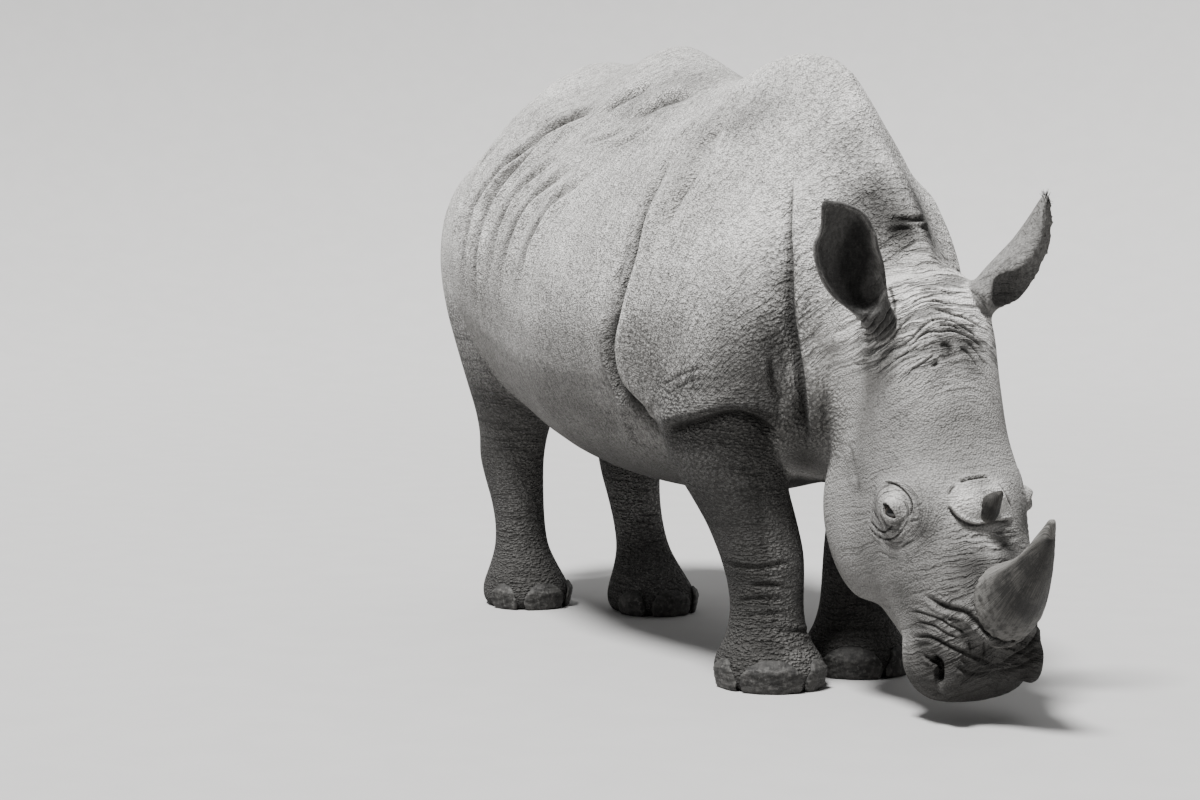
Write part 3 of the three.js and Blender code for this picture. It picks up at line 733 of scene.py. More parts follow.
# tones: how dark or pale the hide is, region by region, partly its own tone and partly painted light and
# painted shade
# soft spots: x,y of the pixel, radius in mm, amount; each also lies on the animal's other side. They hold
# the hide's own paler and darker places, and painted light and painted shade, such as the lightened hind
# legs
toneSettings = {
    # the legs are darker: their own darker hide together with painted shade below the body
    "legTop": (0.42, 0.80),           # metres: full dark below, none above
    "legDark": 0.78,
    "kneeTop": (0.6, 0.95),           # the same for the legs' own tone, and its share of legDark
    "kneeDark": 0.8,
    # bellyDark: painted shade where the skin faces down
    "bellyDark": 0.15,
    "trunkShade": (0.5, 1.3, 0.5),    # painted shade low on the trunk; metres: full below, none above, and how dark
    "faceShade": (-0.15, 0.6, 0.5),   # none before, full after, in shares of the head's length
    "muzzleShade": (0.76, 0.95, 0.8),
    "foldLightAndShadeMost": 0.35,               # limit to the folds' painted light and painted shade
    "earShade": 0.5,
    "cupPale": {"right_ear": 0.72, "left_ear": 0.42},   # painted shade in the ear's cup beside its deepest places
    "headFrom": 820,                  # the pixel right of which a spot is on the head
    "headEdges": ((0.0, 0.12), (0.30, 0.24), (-0.66, -0.52)),   # where the head's tones begin and are full
    "spots": (
        "901,229,34,0.35 947,348,18,0.35 945,352,60,0.25 925,531,34,0.25 893,495,26,-0.25 "
        "968,503,46,-0.5 1000,503,22,0.1 925,475,60,-0.12 885,205,90,0.35 850,150,90,0.2 "
        "805,460,60,0.4 905,300,50,-0.2 735,300,130,0.08 720,380,90,0.1 975,565,60,0.15 "
        "1010,560,50,0.2 930,300,60,-0.2 885,385,60,0.15 975,283,26,0.25 930,400,50,-0.05 "
        "745,110,110,0.16 865,210,90,0.3 905,240,60,0.25 925,640,70,0.22 905,600,60,0.15 "
        "960,590,60,0.12 640,500,150,-0.42 650,580,100,-0.2 740,590,80,0.12 690,400,70,0.12 "
        "920,300,40,-0.15 600,175,160,-0.16 910,450,110,0.1 735,330,110,0.12 735,400,60,0.1 "
        "510,460,120,-0.1 940,375,26,0.12 895,420,40,0.1 955,415,34,0.08 860,470,40,0.15 "
        "780,280,50,0.3 778,340,60,0.35 800,420,90,0.3 745,370,110,0.18 750,120,60,0.12 "
        "990,545,45,-0.2 870,560,60,0.1 920,570,60,0.12 852,460,22,0.2 858,486,14,0.25 "
        "848,432,24,-0.1 700,340,160,-0.04 560,150,120,-0.1 560,230,120,-0.04 640,105,60,0.22 "
        "500,140,60,0.08 690,84,60,0.2 765,105,120,0.14 700,130,90,0.08 870,195,60,0.15 "
        "895,225,50,0.12 905,320,40,-0.12"),
    # where the painted shade in the right ear's cup is strongest, and below zero where it is lifted
    "cupSpots": (
        "857,226,24,0.8 858,240,32,1 848,250,26,0.9 862,254,24,0.9 846,268,28,1 858,270,28,1 "
        "852,286,26,1 858,300,20,0.9 879,276,16,-1 883,292,18,-1 877,262,9,-0.7"),
    "cobbled": (   # where the hide is coarsely cobbled
        "782,330,90,0.8 790,410,110,1 815,420,80,0.8 665,400,90,0.8 700,450,130,0.9 745,440,120,0.8 "
        "635,340,70,0.4 784,250,60,0.5 870,180,100,0.5 700,330,150,0.25 880,240,50,0.4"),
    "lined": (   # and where it is lined
        "930,320,130,1 870,335,80,1 990,330,80,1 885,510,70,1 1000,545,60,0.8 950,630,120,1 "
        "1010,655,110,0.9 885,300,60,0.9 820,300,120,0.7 800,380,120,0.5 690,395,90,0.7 "
        "915,262,100,0.9 700,460,120,0.5 870,560,90,0.3"),
}


def spotted(points, tree, spots):
    # the sum of soft spots, each set where its pixel's line of sight meets the skin
    total = np.zeros(len(points))
    for x, y, radius, amount in rowsOf(spots):
        place = tree.ray_cast(*sightLine(x, y))[0]
        if place is None:
            continue
        here = np.array(place)
        across = mirrored(here, x >= toneSettings["headFrom"])
        blobs = [bell(apart(points, centre), radius / 1000) for centre in (here, across)]
        total += amount * np.maximum(*blobs)
    return total


def headBox(points):
    # 1 over the head and the throat close under it, 0 beyond
    x, y, z = toHead(points).T
    down, across, up = toneSettings["headEdges"]
    return ramp(x, *down) * (1 - ramp(np.abs(y), *across[::-1])) * ramp(z, *up)


def toneOf(points, normals, tree):
    isHead, isEar = np.maximum(region(headNodes), headBox(points)), region(earNodes, 2)
    legs, body = region(legNodes + footNodes, 20), (1 - isHead) * (1 - isEar)
    height, down = points[:, 2], toHead(points)[:, 0] / headSettings["length"]
    # under: where the skin faces down, which gets painted shade
    under = ramp(-normals[:, 2], 0.1, 0.8) * (1 - isEar)
    # the legs: their own darker hide together with painted shade below the body
    dark = (1 - ramp(height, *toneSettings["legTop"])) * body * toneSettings["legDark"]
    knee = legs * toneSettings["legDark"] * toneSettings["kneeDark"]
    dark = np.maximum(dark, knee * (1 - ramp(height, *toneSettings["kneeTop"])))
    dark = dark + toneSettings["bellyDark"] * under * (1 - dark)
    # painted shade low on the trunk
    low, high, most = toneSettings["trunkShade"]
    dark = np.maximum(dark, (1 - ramp(height, low, high)) * body * most)
    for start, end, most in (toneSettings["faceShade"], toneSettings["muzzleShade"]):
        dark = np.maximum(dark, ramp(down, start, end) * isHead * most)
    dark = np.maximum(dark, isEar * toneSettings["earShade"])
    dark = dark + spotted(points, tree, toneSettings["spots"]) * (1 - isEar)
    most = toneSettings["foldLightAndShadeMost"]
    # the folds' painted light pales the hide and their painted shade darkens it
    dark = np.clip(dark - np.clip(foldLightAndShade, -most, most), -0.5, 1)
    # painted shade inside the ears' cups, deepest at the cup spots
    cup = np.zeros(len(points))
    deep = spotted(points, tree, toneSettings["cupSpots"])
    for name, facing in earFacing.items():
        inside = region([name], 2) * ramp(normals @ np.array(facing), 0.1, 0.6)
        level = pale = toneSettings["cupPale"][name]
        if name == "right_ear":   # the left ear's cup faces away from the spots
            level = pale + np.clip(deep, -0.9, 1) * np.where(deep > 0, 1 - pale, pale)
        cup = np.maximum(cup, inside * level)
    return dark, cup


# the run of the hide's fine wrinkles
wrinkleSettings = {
    "hip": (600, 290),         # the pixel that the rump's wrinkles run round
    "rear": (-0.35, 0.05),     # X where they end and where the flank's begin
    "shoulder": (0.22, 0.35),  # X and Z from which the front's wrinkles fan out
    "fan": 0.75,               # metres of X to a radian of the fan
    "brow": (945, 430),        # the pixel that the forehead's wrinkles run round
    "browStretch": 0.8,
    "browReach": 0.1,
    "muzzle": (0.6, 0.8),      # down the head, where its lines curve down and back beside the nose
    "muzzleSlant": 0.35,
    "eyeReach": (0.06, 0.12),  # round each eye they run in rings
}


def linesOf(points, tree):
    # a number in metres that grows across the fine wrinkles, so that they run where it is level
    x, y, z = points.T
    settings = wrinkleSettings
    hip = np.array(tree.ray_cast(*sightLine(*settings["hip"]))[0])
    fromHip = np.hypot(np.hypot(x - hip[0], z - hip[2]), np.abs(y) - abs(hip[1]))
    bendX, bendZ = settings["shoulder"]
    fan = np.arctan2(np.maximum(x - bendX, 0), np.maximum(z - bendZ, 0.05))
    along = np.where(x > bendX, bendX + settings["fan"] * fan, x)
    rear = 1 - ramp(x, *settings["rear"])
    body = along + (hip[0] - fromHip - along) * rear
    head = toHead(points)
    down = head[:, 0]
    brow = toHead(np.array(tree.ray_cast(*sightLine(*settings["brow"]))[0]))[0]
    fromBrow = np.hypot(down - brow, head[:, 1] * settings["browStretch"])
    upper = 1 - ramp(down, brow - settings["browReach"], brow + settings["browReach"])
    face = down + (brow - fromBrow - down) * upper
    face = face - settings["muzzleSlant"] * np.abs(head[:, 1]) * ramp(down, *settings["muzzle"])
    for centre in eyes.values():
        away = apart(points, centre)
        face = face + (brow + away - face) * (1 - ramp(away, *settings["eyeReach"]))
    return body, face


normals = normalsOf(skin.data)
dark, cup = toneOf(points, normals, bareTree)
acrossBody, acrossFace = linesOf(points, bareTree)
legShare = region(legNodes + footNodes, 25)
attributes = {
    "dark": dark, "cup": cup, "creaseShade": creaseShade, "acrossBody": acrossBody, "acrossFace": acrossFace,
    "onLeg": legShare, "onHead": np.maximum(region(headNodes, 15), headBox(points)),
    "smooth": region(earNodes, 4) * 0.75,
}
for name, legLevel in (("cobbled", 0.75), ("lined", 0.5)):
    marked = spotted(points, bareTree, toneSettings[name])
    attributes[name] = np.clip(np.maximum(marked, legShare * legLevel), 0, 1)
for name, values in attributes.items():
    setAttribute(skin.data, name, values)
print("tones set")


def thinned(piece, triangles):
    # fewer, larger faces where the surface is nearly flat
    corners = sum(len(face.vertices) - 2 for face in piece.data.polygons)
    if corners > triangles:
        modifier = piece.modifiers.new("thin", "DECIMATE")
        modifier.ratio = triangles / corners
        baked(piece)
    return piece


skin = thinned(skin, skinSettings["triangles"])
shadeSmooth(skin.data)
print("skin finished:", len(skin.data.polygons), "faces")


# materials
def material(name):
    made = bpy.data.materials.new(name)
    made.use_nodes = True
    tree = made.node_tree
    shader = next(node for node in tree.nodes if node.type == "BSDF_PRINCIPLED")
    return made, tree, shader


def fill(tree, made, **inputs):
    # links and plain values into a node's inputs, by name or as at0, at1 by number
    for key, value in inputs.items():
        socket = made.inputs[int(key[2:]) if key.startswith("at") else key.replace("_", " ")]
        if isinstance(value, bpy.types.NodeSocket):
            tree.links.new(value, socket)
        else:
            socket.default_value = value


def node(tree, kind, settings=None, **inputs):
    made = tree.nodes.new("ShaderNode" + kind)
    for key, value in (settings or {}).items():
        setattr(made, key, value)
    fill(tree, made, **inputs)
    return made


def maths(tree, operation, a, b, c=0.0):
    return node(tree, "Math", {"operation": operation}, at0=a, at1=b, at2=c).outputs[0]


def times(tree, a, b):
    return maths(tree, "MULTIPLY", a, b)


def mixed(tree, share, a, b):
    a, b = ((*value, 1) if isinstance(value, tuple) else value for value in (a, b))
    return node(tree, "Mix", {"data_type": "RGBA"}, at0=share, at6=a, at7=b).outputs[2]


def remap(tree, value, low, high, outLow=0.0, outHigh=1.0):
    if low > high:
        low, high, outLow, outHigh = high, low, outHigh, outLow
    return node(tree, "MapRange", {"interpolation_type": "SMOOTHSTEP"}, Value=value, From_Min=low,
                From_Max=high, To_Min=outLow, To_Max=outHigh).outputs[0]


def attribute(tree, name):
    return node(tree, "Attribute", {"attribute_name": name}).outputs["Fac"]


def scaled(tree, space, scale):
    return node(tree, "Mapping", Vector=space, Scale=scale).outputs[0]


def objectSpace(tree, scale=(1, 1, 1)):
    return scaled(tree, node(tree, "TexCoord").outputs["Object"], scale)


def noise(tree, space, scale, detail=3.0, roughness=0.55, distortion=0.0):
    return node(tree, "TexNoise", Vector=space, Scale=scale, Detail=detail, Roughness=roughness,
                Distortion=distortion).outputs["Fac"]


def pebbles(tree, space, scale):
    # 0 in the middle of each pebble, up to about 0.8 in the gaps between them
    return node(tree, "TexVoronoi", {"feature": "F1"}, Vector=space, Scale=scale, Detail=0.0,
                Randomness=1.0).outputs["Distance"]


def bumped(tree, shader, height, depth, strength=1.0):
    bump = node(tree, "Bump", Strength=strength, Distance=depth, Height=height)
    tree.links.new(bump.outputs[0], shader.inputs["Normal"])


# spans: a pattern's values between which an effect comes in, and how strong it is
hideSettings = {
    "pale": (0.72, 0.705, 0.68),
    "dusty": (0.50, 0.488, 0.468),
    # the hide's own paler places and painted light
    "paleAndLit": (0.78, 0.765, 0.74),
    "deep": (0.02, 0.019, 0.0175),
    # the colour of the painted shade deep in the ears' cups
    "cupShadeTone": (0.004, 0.0038, 0.0035),
    # sizes as how many come to a metre
    "broad": 2.6, "patchy": 13.0, "rough": 42.0, "cobbles": 96.0, "legCobbles": 104.0,
    "grains": 200.0, "pits": 95.0, "down": 120.0, "cupStreaks": 90.0,
    "cobbleShape": (0.72, 1, 1), "legCobbleShape": (0.8, 0.8, 1.35),
    "wrinkles": (88.0, 11.0),      # across their run and along it
    "flecks": (170.0, 62.0),
    "faceWrinkles": 2.3,           # how much coarser the face's second set is
    "warp": (9.0, 0.02), "waver": (11.0, 0.03),   # of space and of the lines: to a metre, metres
    "broadSpan": (0.35, 0.65), "patchySpan": (0.4, 0.75, 0.0, 0.5),
    "darkPower": 1.8, "paleAndLitGain": -1.2,
    "creaseSpan": (0.15, 0.8), "creaseDark": 0.85, "pitSpan": (0.62, 0.7, 0.0, 0.45),
    "downSpan": (0.4, 0.6, 0.5, 0.0), "streakSpan": (0.3, 0.7, 0.94, 1.0),
    # how dark and how high a mark is: where the skin is marked with it, added off the head, everywhere
    "marks": {
        "cells": {"shade": (0.46, 0.62), "dark": (0.55, 0.05, 0.05),
                  "rise": (0.7, 0.15), "high": (0.9, 0.06, 0.05)},
        "lines": {"shade": (0.45, 0.38), "dark": (0.6, 0.1, 0.08),
                  "rise": (0.33, 0.52), "high": (1.0, 0.2, 0.1)},
        "grain": {"shade": (0.38, 0.6), "dark": (0, 0.1, 0.26), "high": (0, -0.2, -0.26)},
        "rough": {"high": (0, 0.0, 0.16)},
        "flecks": {"shade": (0.49, 0.37), "dark": (0, 0.42, 0.0),
                   "rise": (0.3, 0.6), "high": (0, 0.3, 0.02)},
    },
    "bumpDepth": 0.0095,
    "roughness": (0.80, 0.96),
}


def makeHide(settings):
    made, tree, shader = material("rhinoHide")
    plain = objectSpace(tree)
    split = node(tree, "SeparateXYZ", Vector=plain)
    names = ("onLeg", "onHead", "cobbled", "lined", "smooth", "dark", "cup", "creaseShade", "acrossBody",
             "acrossFace")
    onLeg, onHead, cobbled, lined, smooth, dark, cup, creaseShade, acrossBody, acrossFace = (
        attribute(tree, name) for name in names)
    coarse = maths(tree, "SUBTRACT", 1.0, smooth)
    offHead = maths(tree, "SUBTRACT", 1.0, onHead)
    # space and lines waver a little, so that no pattern looks ruled
    scale, size = settings["warp"]
    warp = node(tree, "TexNoise", Vector=plain, Scale=scale, Detail=3.0).outputs["Color"]
    warp = node(tree, "VectorMath", {"operation": "SCALE"}, at0=warp, Scale=size).outputs[0]
    bent = node(tree, "VectorMath", {"operation": "ADD"}, at0=plain, at1=warp).outputs[0]
    scale, size = settings["waver"]
    waver = times(tree, noise(tree, plain, scale, 3), size)

    def wrinkles(across, size=1.0, kind="wrinkles"):
        # noise drawn out along the lines where the number across is level
        width, run = (value / size for value in settings[kind])
        space = node(tree, "CombineXYZ", X=times(tree, maths(tree, "ADD", across, waver), width),
                     Y=times(tree, split.outputs["Y"], run), Z=times(tree, split.outputs["Z"], run))
        return noise(tree, space.outputs[0], 1.0, 3, 0.6, 0.35)

    def amount(marked, onMarked, offHeadMore, everywhere):
        base = maths(tree, "MULTIPLY_ADD", offHead, offHeadMore, everywhere)
        return maths(tree, "MULTIPLY_ADD", marked, onMarked, base) if onMarked else base

    cells = mixed(tree, onLeg,
                  pebbles(tree, scaled(tree, bent, settings["cobbleShape"]), settings["cobbles"]),
                  pebbles(tree, scaled(tree, bent, settings["legCobbleShape"]), settings["legCobbles"]))
    faceLines = maths(tree, "MINIMUM", wrinkles(acrossFace), wrinkles(acrossFace, settings["faceWrinkles"]))
    lines = mixed(tree, onLeg, wrinkles(acrossBody), wrinkles(split.outputs["Z"]))
    grain = pebbles(tree, plain, settings["grains"])
    patterns = {   # each with where it is marked
        "cells": (cells, cobbled),
        "lines": (mixed(tree, onHead, lines, faceLines), lined),
        "grain": (grain, None),
        "rough": (noise(tree, plain, settings["rough"], 4, 0.65), None),
        "flecks": (wrinkles(acrossBody, 1.0, "flecks"), None),
    }
    broad = noise(tree, plain, settings["broad"], 4)
    patchy = noise(tree, plain, settings["patchy"], 5)
    tone = mixed(tree, remap(tree, broad, *settings["broadSpan"]), settings["pale"], settings["dusty"])
    tone = mixed(tree, remap(tree, patchy, *settings["patchySpan"]), tone, settings["dusty"])
    # a dark value below zero makes the hide paler: its own paler places, and painted light on the folds'
    # lit sides, the flank's top and the hind legs
    paleAndLit = times(tree, maths(tree, "MINIMUM", dark, 0.0), settings["paleAndLitGain"])
    tone = mixed(tree, paleAndLit, tone, settings["paleAndLit"])
    left = maths(tree, "SUBTRACT", 1.0, maths(tree, "MAXIMUM", dark, 0.0))
    tone = mixed(tree, maths(tree, "POWER", left, settings["darkPower"]), settings["deep"], tone)
    # painted shade in the folds' valleys and clefts
    inCrease = times(tree, remap(tree, creaseShade, *settings["creaseSpan"]), settings["creaseDark"])
    tone = mixed(tree, inCrease, tone, settings["deep"])
    height = 0.0
    for name, (pattern, marked) in patterns.items():
        mark = settings["marks"][name]
        if "shade" in mark:
            shade = times(tree, remap(tree, pattern, *mark["shade"]), amount(marked, *mark["dark"]))
            tone = mixed(tree, times(tree, shade, coarse), tone, settings["deep"])
        rise = remap(tree, pattern, *mark["rise"]) if "rise" in mark else pattern
        height = maths(tree, "MULTIPLY_ADD", rise, amount(marked, *mark["high"]), height)
    pits = noise(tree, plain, settings["pits"], 2, 0.5)
    tone = mixed(tree, remap(tree, pits, *settings["pitSpan"]), tone, settings["deep"])
    downy = noise(tree, scaled(tree, bent, (1, 1, 0.5)), settings["down"], 3, 0.7)
    earShade = times(tree, remap(tree, downy, *settings["downSpan"]), smooth)
    tone = mixed(tree, earShade, tone, settings["deep"])
    # painted shade in the ears' cups, streaked
    streaks = noise(tree, scaled(tree, plain, (1, 1, 0.12)), settings["cupStreaks"], 2)
    cupShade = times(tree, cup, remap(tree, streaks, *settings["streakSpan"]))
    tone = mixed(tree, cupShade, tone, settings["cupShadeTone"])
    fill(tree, shader, Base_Color=tone, Roughness=remap(tree, grain, 0.1, 0.7, *settings["roughness"]),
         Specular_IOR_Level=0.25)
    bumped(tree, shader, times(tree, height, coarse), settings["bumpDepth"])
    return made


dress(skin, makeHide(hideSettings), "hide", *fleshNodes)
print("hide made")

# eyes
eyeSettings = {
    "radius": 0.0232,
    "iris": 0.72,          # share of the radius
    "pupil": 0.32,
    "brown": (0.014, 0.0095, 0.007),
    "fibres": (0.032, 0.022, 0.015),
    "white": (0.045, 0.038, 0.034),
    "black": (0.002, 0.002, 0.002),
    "swell": 0.06,         # share of the radius that the clear front stands out
}


def makeEyeball(side, settings):
    outward = Vector(eyeAxes(side)[2])
    shape = bmesh.new()
    bmesh.ops.create_uvsphere(shape, u_segments=48, v_segments=32, radius=settings["radius"])
    for vertex in shape.verts:
        share = vertex.co.z / settings["radius"]
        vertex.co.z += settings["radius"] * settings["swell"] * max(share - 0.75, 0) / 0.25
    turn = Vector((0, 0, 1)).rotation_difference(outward).to_matrix().to_4x4()
    centre = Vector(eyes[side])
    bmesh.ops.transform(shape, matrix=Matrix.Translation(centre) @ turn, verts=shape.verts)
    mesh = bpy.data.meshes.new(f"{side}Eyeball")
    shape.to_mesh(mesh)
    shape.free()
    shadeSmooth(mesh)
    points = pointsOf(mesh) - np.array(centre)
    facing = points @ np.array(outward) / settings["radius"]
    setAttribute(mesh, "aside", np.sqrt(np.clip(1 - facing ** 2, 0, 1)) + (facing < 0))
    return linked(f"{side}Eyeball", mesh)


def makeEyeFinish(settings):
    made, tree, shader = material("eyeWet")
    aside = attribute(tree, "aside")
    fibres = noise(tree, objectSpace(tree), 400.0, 3)
    brown = mixed(tree, remap(tree, fibres, 0.3, 0.7, 0.0, 0.6), settings["brown"], settings["fibres"])
    pupil = remap(tree, aside, settings["pupil"] - 0.03, settings["pupil"] + 0.03)
    tone = mixed(tree, pupil, settings["black"], brown)
    edge = remap(tree, aside, settings["iris"], settings["iris"] + 0.12)
    tone = mixed(tree, edge, tone, settings["white"])
    fill(tree, shader, Base_Color=tone, Roughness=0.08, Coat_Weight=0.6)
    return made


eyeFinish = makeEyeFinish(eyeSettings)
for side in ("right", "left"):
    dress(makeEyeball(side, eyeSettings), eyeFinish, "eye", f"{side}_eye")
print("eyes made")

# horns
hornSettings = {
    "voxel": 0.0035,
    "fibres": 0.0008,      # how far strands of horn stand up
    "foot": (0.02, 0.12),  # metres off the face over which the frayed foot gives way to plain horn
    "relax": 14,
    "strands": (14.0, 9.0, 2.2),   # round the horn, along it, and to both
    "stains": 17.0, "flakes": 60.0,   # to a metre
    "bumpDepth": 0.005,
    # each horn's node and piece, where it stands down the head, and how much of the foot it has
    "horns": (("front_horn", "frontHorn", 0.76, 1.0), ("rear_horn", "rearHorn", 0.535, 0.15)),
    "tone": (0.060, 0.057, 0.052),
    "paleTone": (0.21, 0.203, 0.19),
    "footTone": (0.135, 0.131, 0.123),
    "darkTone": (0.006, 0.0056, 0.005),
}


def makeHorn(member, name, settings, base, footShare):
    piece = keepLargest(remeshed(joinedCopy(name, [member]), settings["voxel"]))
    mesh = piece.data
    points = softened(mesh, settings["relax"])
    normals = normalsOf(mesh)
    head = toHead(points)
    height = head[:, 2]
    around = np.arctan2(head[:, 1], head[:, 0] - base + height * 0.35)
    rise = np.sin(around * 23 + 2.0 * np.sin(around * 3 + height * 20)) * 0.5
    rise += np.sin(around * 41 + height * 35) * 0.3
    foot = 1 - ramp(height, *(footShare * edge for edge in settings["foot"]))
    rough = np.sin(around * 17 + 5 * np.sin(height * 90)) * np.sin(height * 210 + 3 * around)
    lift = settings["fibres"] * (rise + foot * 1.2 * rough)
    points = points + normals * (lift * ramp(height, -0.06, 0.0))[:, None]
    setPoints(mesh, points)
    rear = ramp(-np.cos(around), 0.1, 0.75)   # the side towards the brow is painted pale as lit, with some wear
    for key, values in (("foot", foot), ("around", around), ("height", height), ("rear", rear)):
        setAttribute(mesh, key, values)
    shadeSmooth(mesh)
    return piece


def makeHornFinish(settings):
    made, tree, shader = material("hornFibre")
    around, height, foot, rear = (attribute(tree, name) for name in ("around", "height", "foot", "rear"))
    turns, run, scale = settings["strands"]
    space = node(tree, "CombineXYZ", X=times(tree, around, turns), Y=times(tree, height, run)).outputs[0]
    strands = noise(tree, space, scale, 5, 0.65)
    stains = noise(tree, objectSpace(tree), settings["stains"], 5, 0.65)
    flakes = noise(tree, objectSpace(tree), settings["flakes"], 4, 0.65)
    tone = mixed(tree, remap(tree, strands, 0.35, 0.65), settings["darkTone"], settings["tone"])
    tone = mixed(tree, remap(tree, stains, 0.42, 0.6, 0.0, 0.75), tone, settings["darkTone"])
    # scratches down its length
    tone = mixed(tree, remap(tree, strands, 0.66, 0.72, 0.0, 0.5), tone, settings["paleTone"])
    # painted light on the side towards the brow, with some wear
    worn = times(tree, rear, remap(tree, strands, 0.35, 0.6, 0.1, 0.8))
    tone = mixed(tree, worn, tone, settings["paleTone"])
    frayed = times(tree, foot, remap(tree, flakes, 0.35, 0.6, 0.15, 0.75))
    tone = mixed(tree, frayed, tone, settings["footTone"])
    fill(tree, shader, Base_Color=tone, Roughness=remap(tree, strands, 0.2, 0.8, 0.5, 0.75),
         Specular_IOR_Level=0.3)
    bumped(tree, shader, maths(tree, "MULTIPLY_ADD", flakes, 0.5, strands), settings["bumpDepth"], 0.7)
    return made


hornFinish = makeHornFinish(hornSettings)
for member, name, base, footShare in hornSettings["horns"]:
    dress(makeHorn(member, name, hornSettings, base, footShare), hornFinish, "horn", member)
print("horns made")

# toenails
nailSettings = {
    "voxel": 0.003,
    "relax": 34,           # rounds that soften their rims
    "kept": 0.6,           # share of the lost volume that is given back
    "stains": 30.0, "streaks": 130.0, "clods": 75.0,   # to a metre
    "bumpDepth": 0.004,
    "ridges": 0.0006,      # how far the growth ridges stand up
    "tone": (0.056, 0.054, 0.051),
    "edge": (0.017, 0.0165, 0.0155),
    "dustAndLight": (0.13, 0.127, 0.12),
}


def makeNail(member, settings):
    piece = keepLargest(remeshed(joinedCopy(member + "_worn", [member]), settings["voxel"]))
    mesh = piece.data
    points = softened(mesh, settings["relax"], settings["kept"])
    normals = normalsOf(mesh)
    wavering = 3 * np.sin(points[:, 1] * 45 + points[:, 0] * 30)
    ridges = np.sin(points[:, 2] * 330 + wavering) + 0.6 * np.sin(points[:, 2] * 710 - wavering)
    points = points + normals * (settings["ridges"] * ridges)[:, None]
    points[:, 2] = np.maximum(points[:, 2], 0.0)
    setPoints(mesh, points)
    # up: share of the nail's height, for the painted shade along its top
    setAttribute(mesh, "up", ramp(points[:, 2], 0.0, 0.085))
    shadeSmooth(mesh)
    return piece


def makeNailFinish(settings):
    made, tree, shader = material("nailKeratin")
    stains = noise(tree, objectSpace(tree), settings["stains"], 5, 0.65)
    streaks = noise(tree, objectSpace(tree, (1, 1, 0.15)), settings["streaks"], 3)
    clods = noise(tree, objectSpace(tree), settings["clods"], 4, 0.7)
    tone = mixed(tree, remap(tree, stains, 0.38, 0.62), settings["tone"], settings["edge"])
    tone = mixed(tree, remap(tree, clods, 0.5, 0.66, 0.0, 0.6), tone, settings["dustAndLight"])
    tone = mixed(tree, remap(tree, streaks, 0.35, 0.65, 0.4, 0.0), tone, settings["edge"])
    # painted shade along the nail's top, where it meets the skin
    tone = mixed(tree, remap(tree, attribute(tree, "up"), 0.7, 1.0, 0.0, 0.5), tone, settings["edge"])
    fill(tree, shader, Base_Color=tone, Roughness=0.75, Specular_IOR_Level=0.3)
    bumped(tree, shader, maths(tree, "MULTIPLY_ADD", clods, 1.2, streaks), settings["bumpDepth"], 0.7)
    return made


nailFinish = makeNailFinish(nailSettings)
for member in sorted(name for name in cadNodes if name.endswith("_nail")):
    dress(makeNail(member, nailSettings), nailFinish, "nail", member)
print("nails made")

# bristles: the tail's tuft and the fringes of the ears
bristleSettings = {
    "seed": 11,
    "tailStrands": 520,
    "tailLength": (0.12, 0.25),
    "tailWidth": 0.0026,
    "earStrands": {"right": 90, "left": 130},
    "earLength": {"right": (0.004, 0.010), "left": (0.008, 0.020)},
    "earWidth": 0.0009,
    "tone": (0.012, 0.011, 0.010),
    "worn": (0.035, 0.032, 0.03),
}


def makeBristles(name, roots, leans, lengths, width, homes, droop):
    # each bristle is a thin three-sided spike of three rings, bent by droop on its way
    corners, faces, spots = [], [], []
    rings = 3
    for root, lean, length, home in zip(roots, leans, lengths, homes):
        direction = Vector(lean).normalized()
        side = direction.orthogonal().normalized()
        other = direction.cross(side)
        start = len(corners)
        for ring in range(rings):
            share = ring / rings
            centre = Vector(root) + direction * length * share + Vector(droop) * length * share ** 2
            size = width * (1 - share * 0.75)
            for k in range(3):
                angle = k * 2 * math.pi / 3
                corners.append(centre + (side * math.cos(angle) + other * math.sin(angle)) * size)
                spots.append((home[0] + 0.003 * share, home[1] + 0.001 * k))
        corners.append(Vector(root) + direction * length + Vector(droop) * length)
        spots.append((home[0] + 0.003, home[1] + 0.001))
        faces.append((start + 2, start + 1, start))
        for ring in range(rings - 1):
            for k in range(3):
                a, b = start + ring * 3 + k, start + ring * 3 + (k + 1) % 3
                faces.append((a, b, b + 3, a + 3))
        last = start + (rings - 1) * 3
        for k in range(3):
            faces.append((last + k, last + (k + 1) % 3, start + rings * 3))
    mesh = bpy.data.meshes.new(name)
    mesh.from_pydata([tuple(corner) for corner in corners], [], faces)
    layer = mesh.uv_layers.new(name="OFBake")
    for loop in mesh.loops:
        layer.data[loop.index].uv = spots[loop.vertex_index]
    shadeSmooth(mesh)
    return linked(name, mesh)


def makeBristleFinish(settings):
    made, tree, shader = material("bristle")
    mottle = noise(tree, objectSpace(tree), 60.0, 2)
    tone = mixed(tree, remap(tree, mottle, 0.3, 0.7), settings["tone"], settings["worn"])
    fill(tree, shader, Base_Color=tone, Roughness=0.6)
    return made


bristleFinish = makeBristleFinish(bristleSettings)
chance = np.random.default_rng(bristleSettings["seed"])


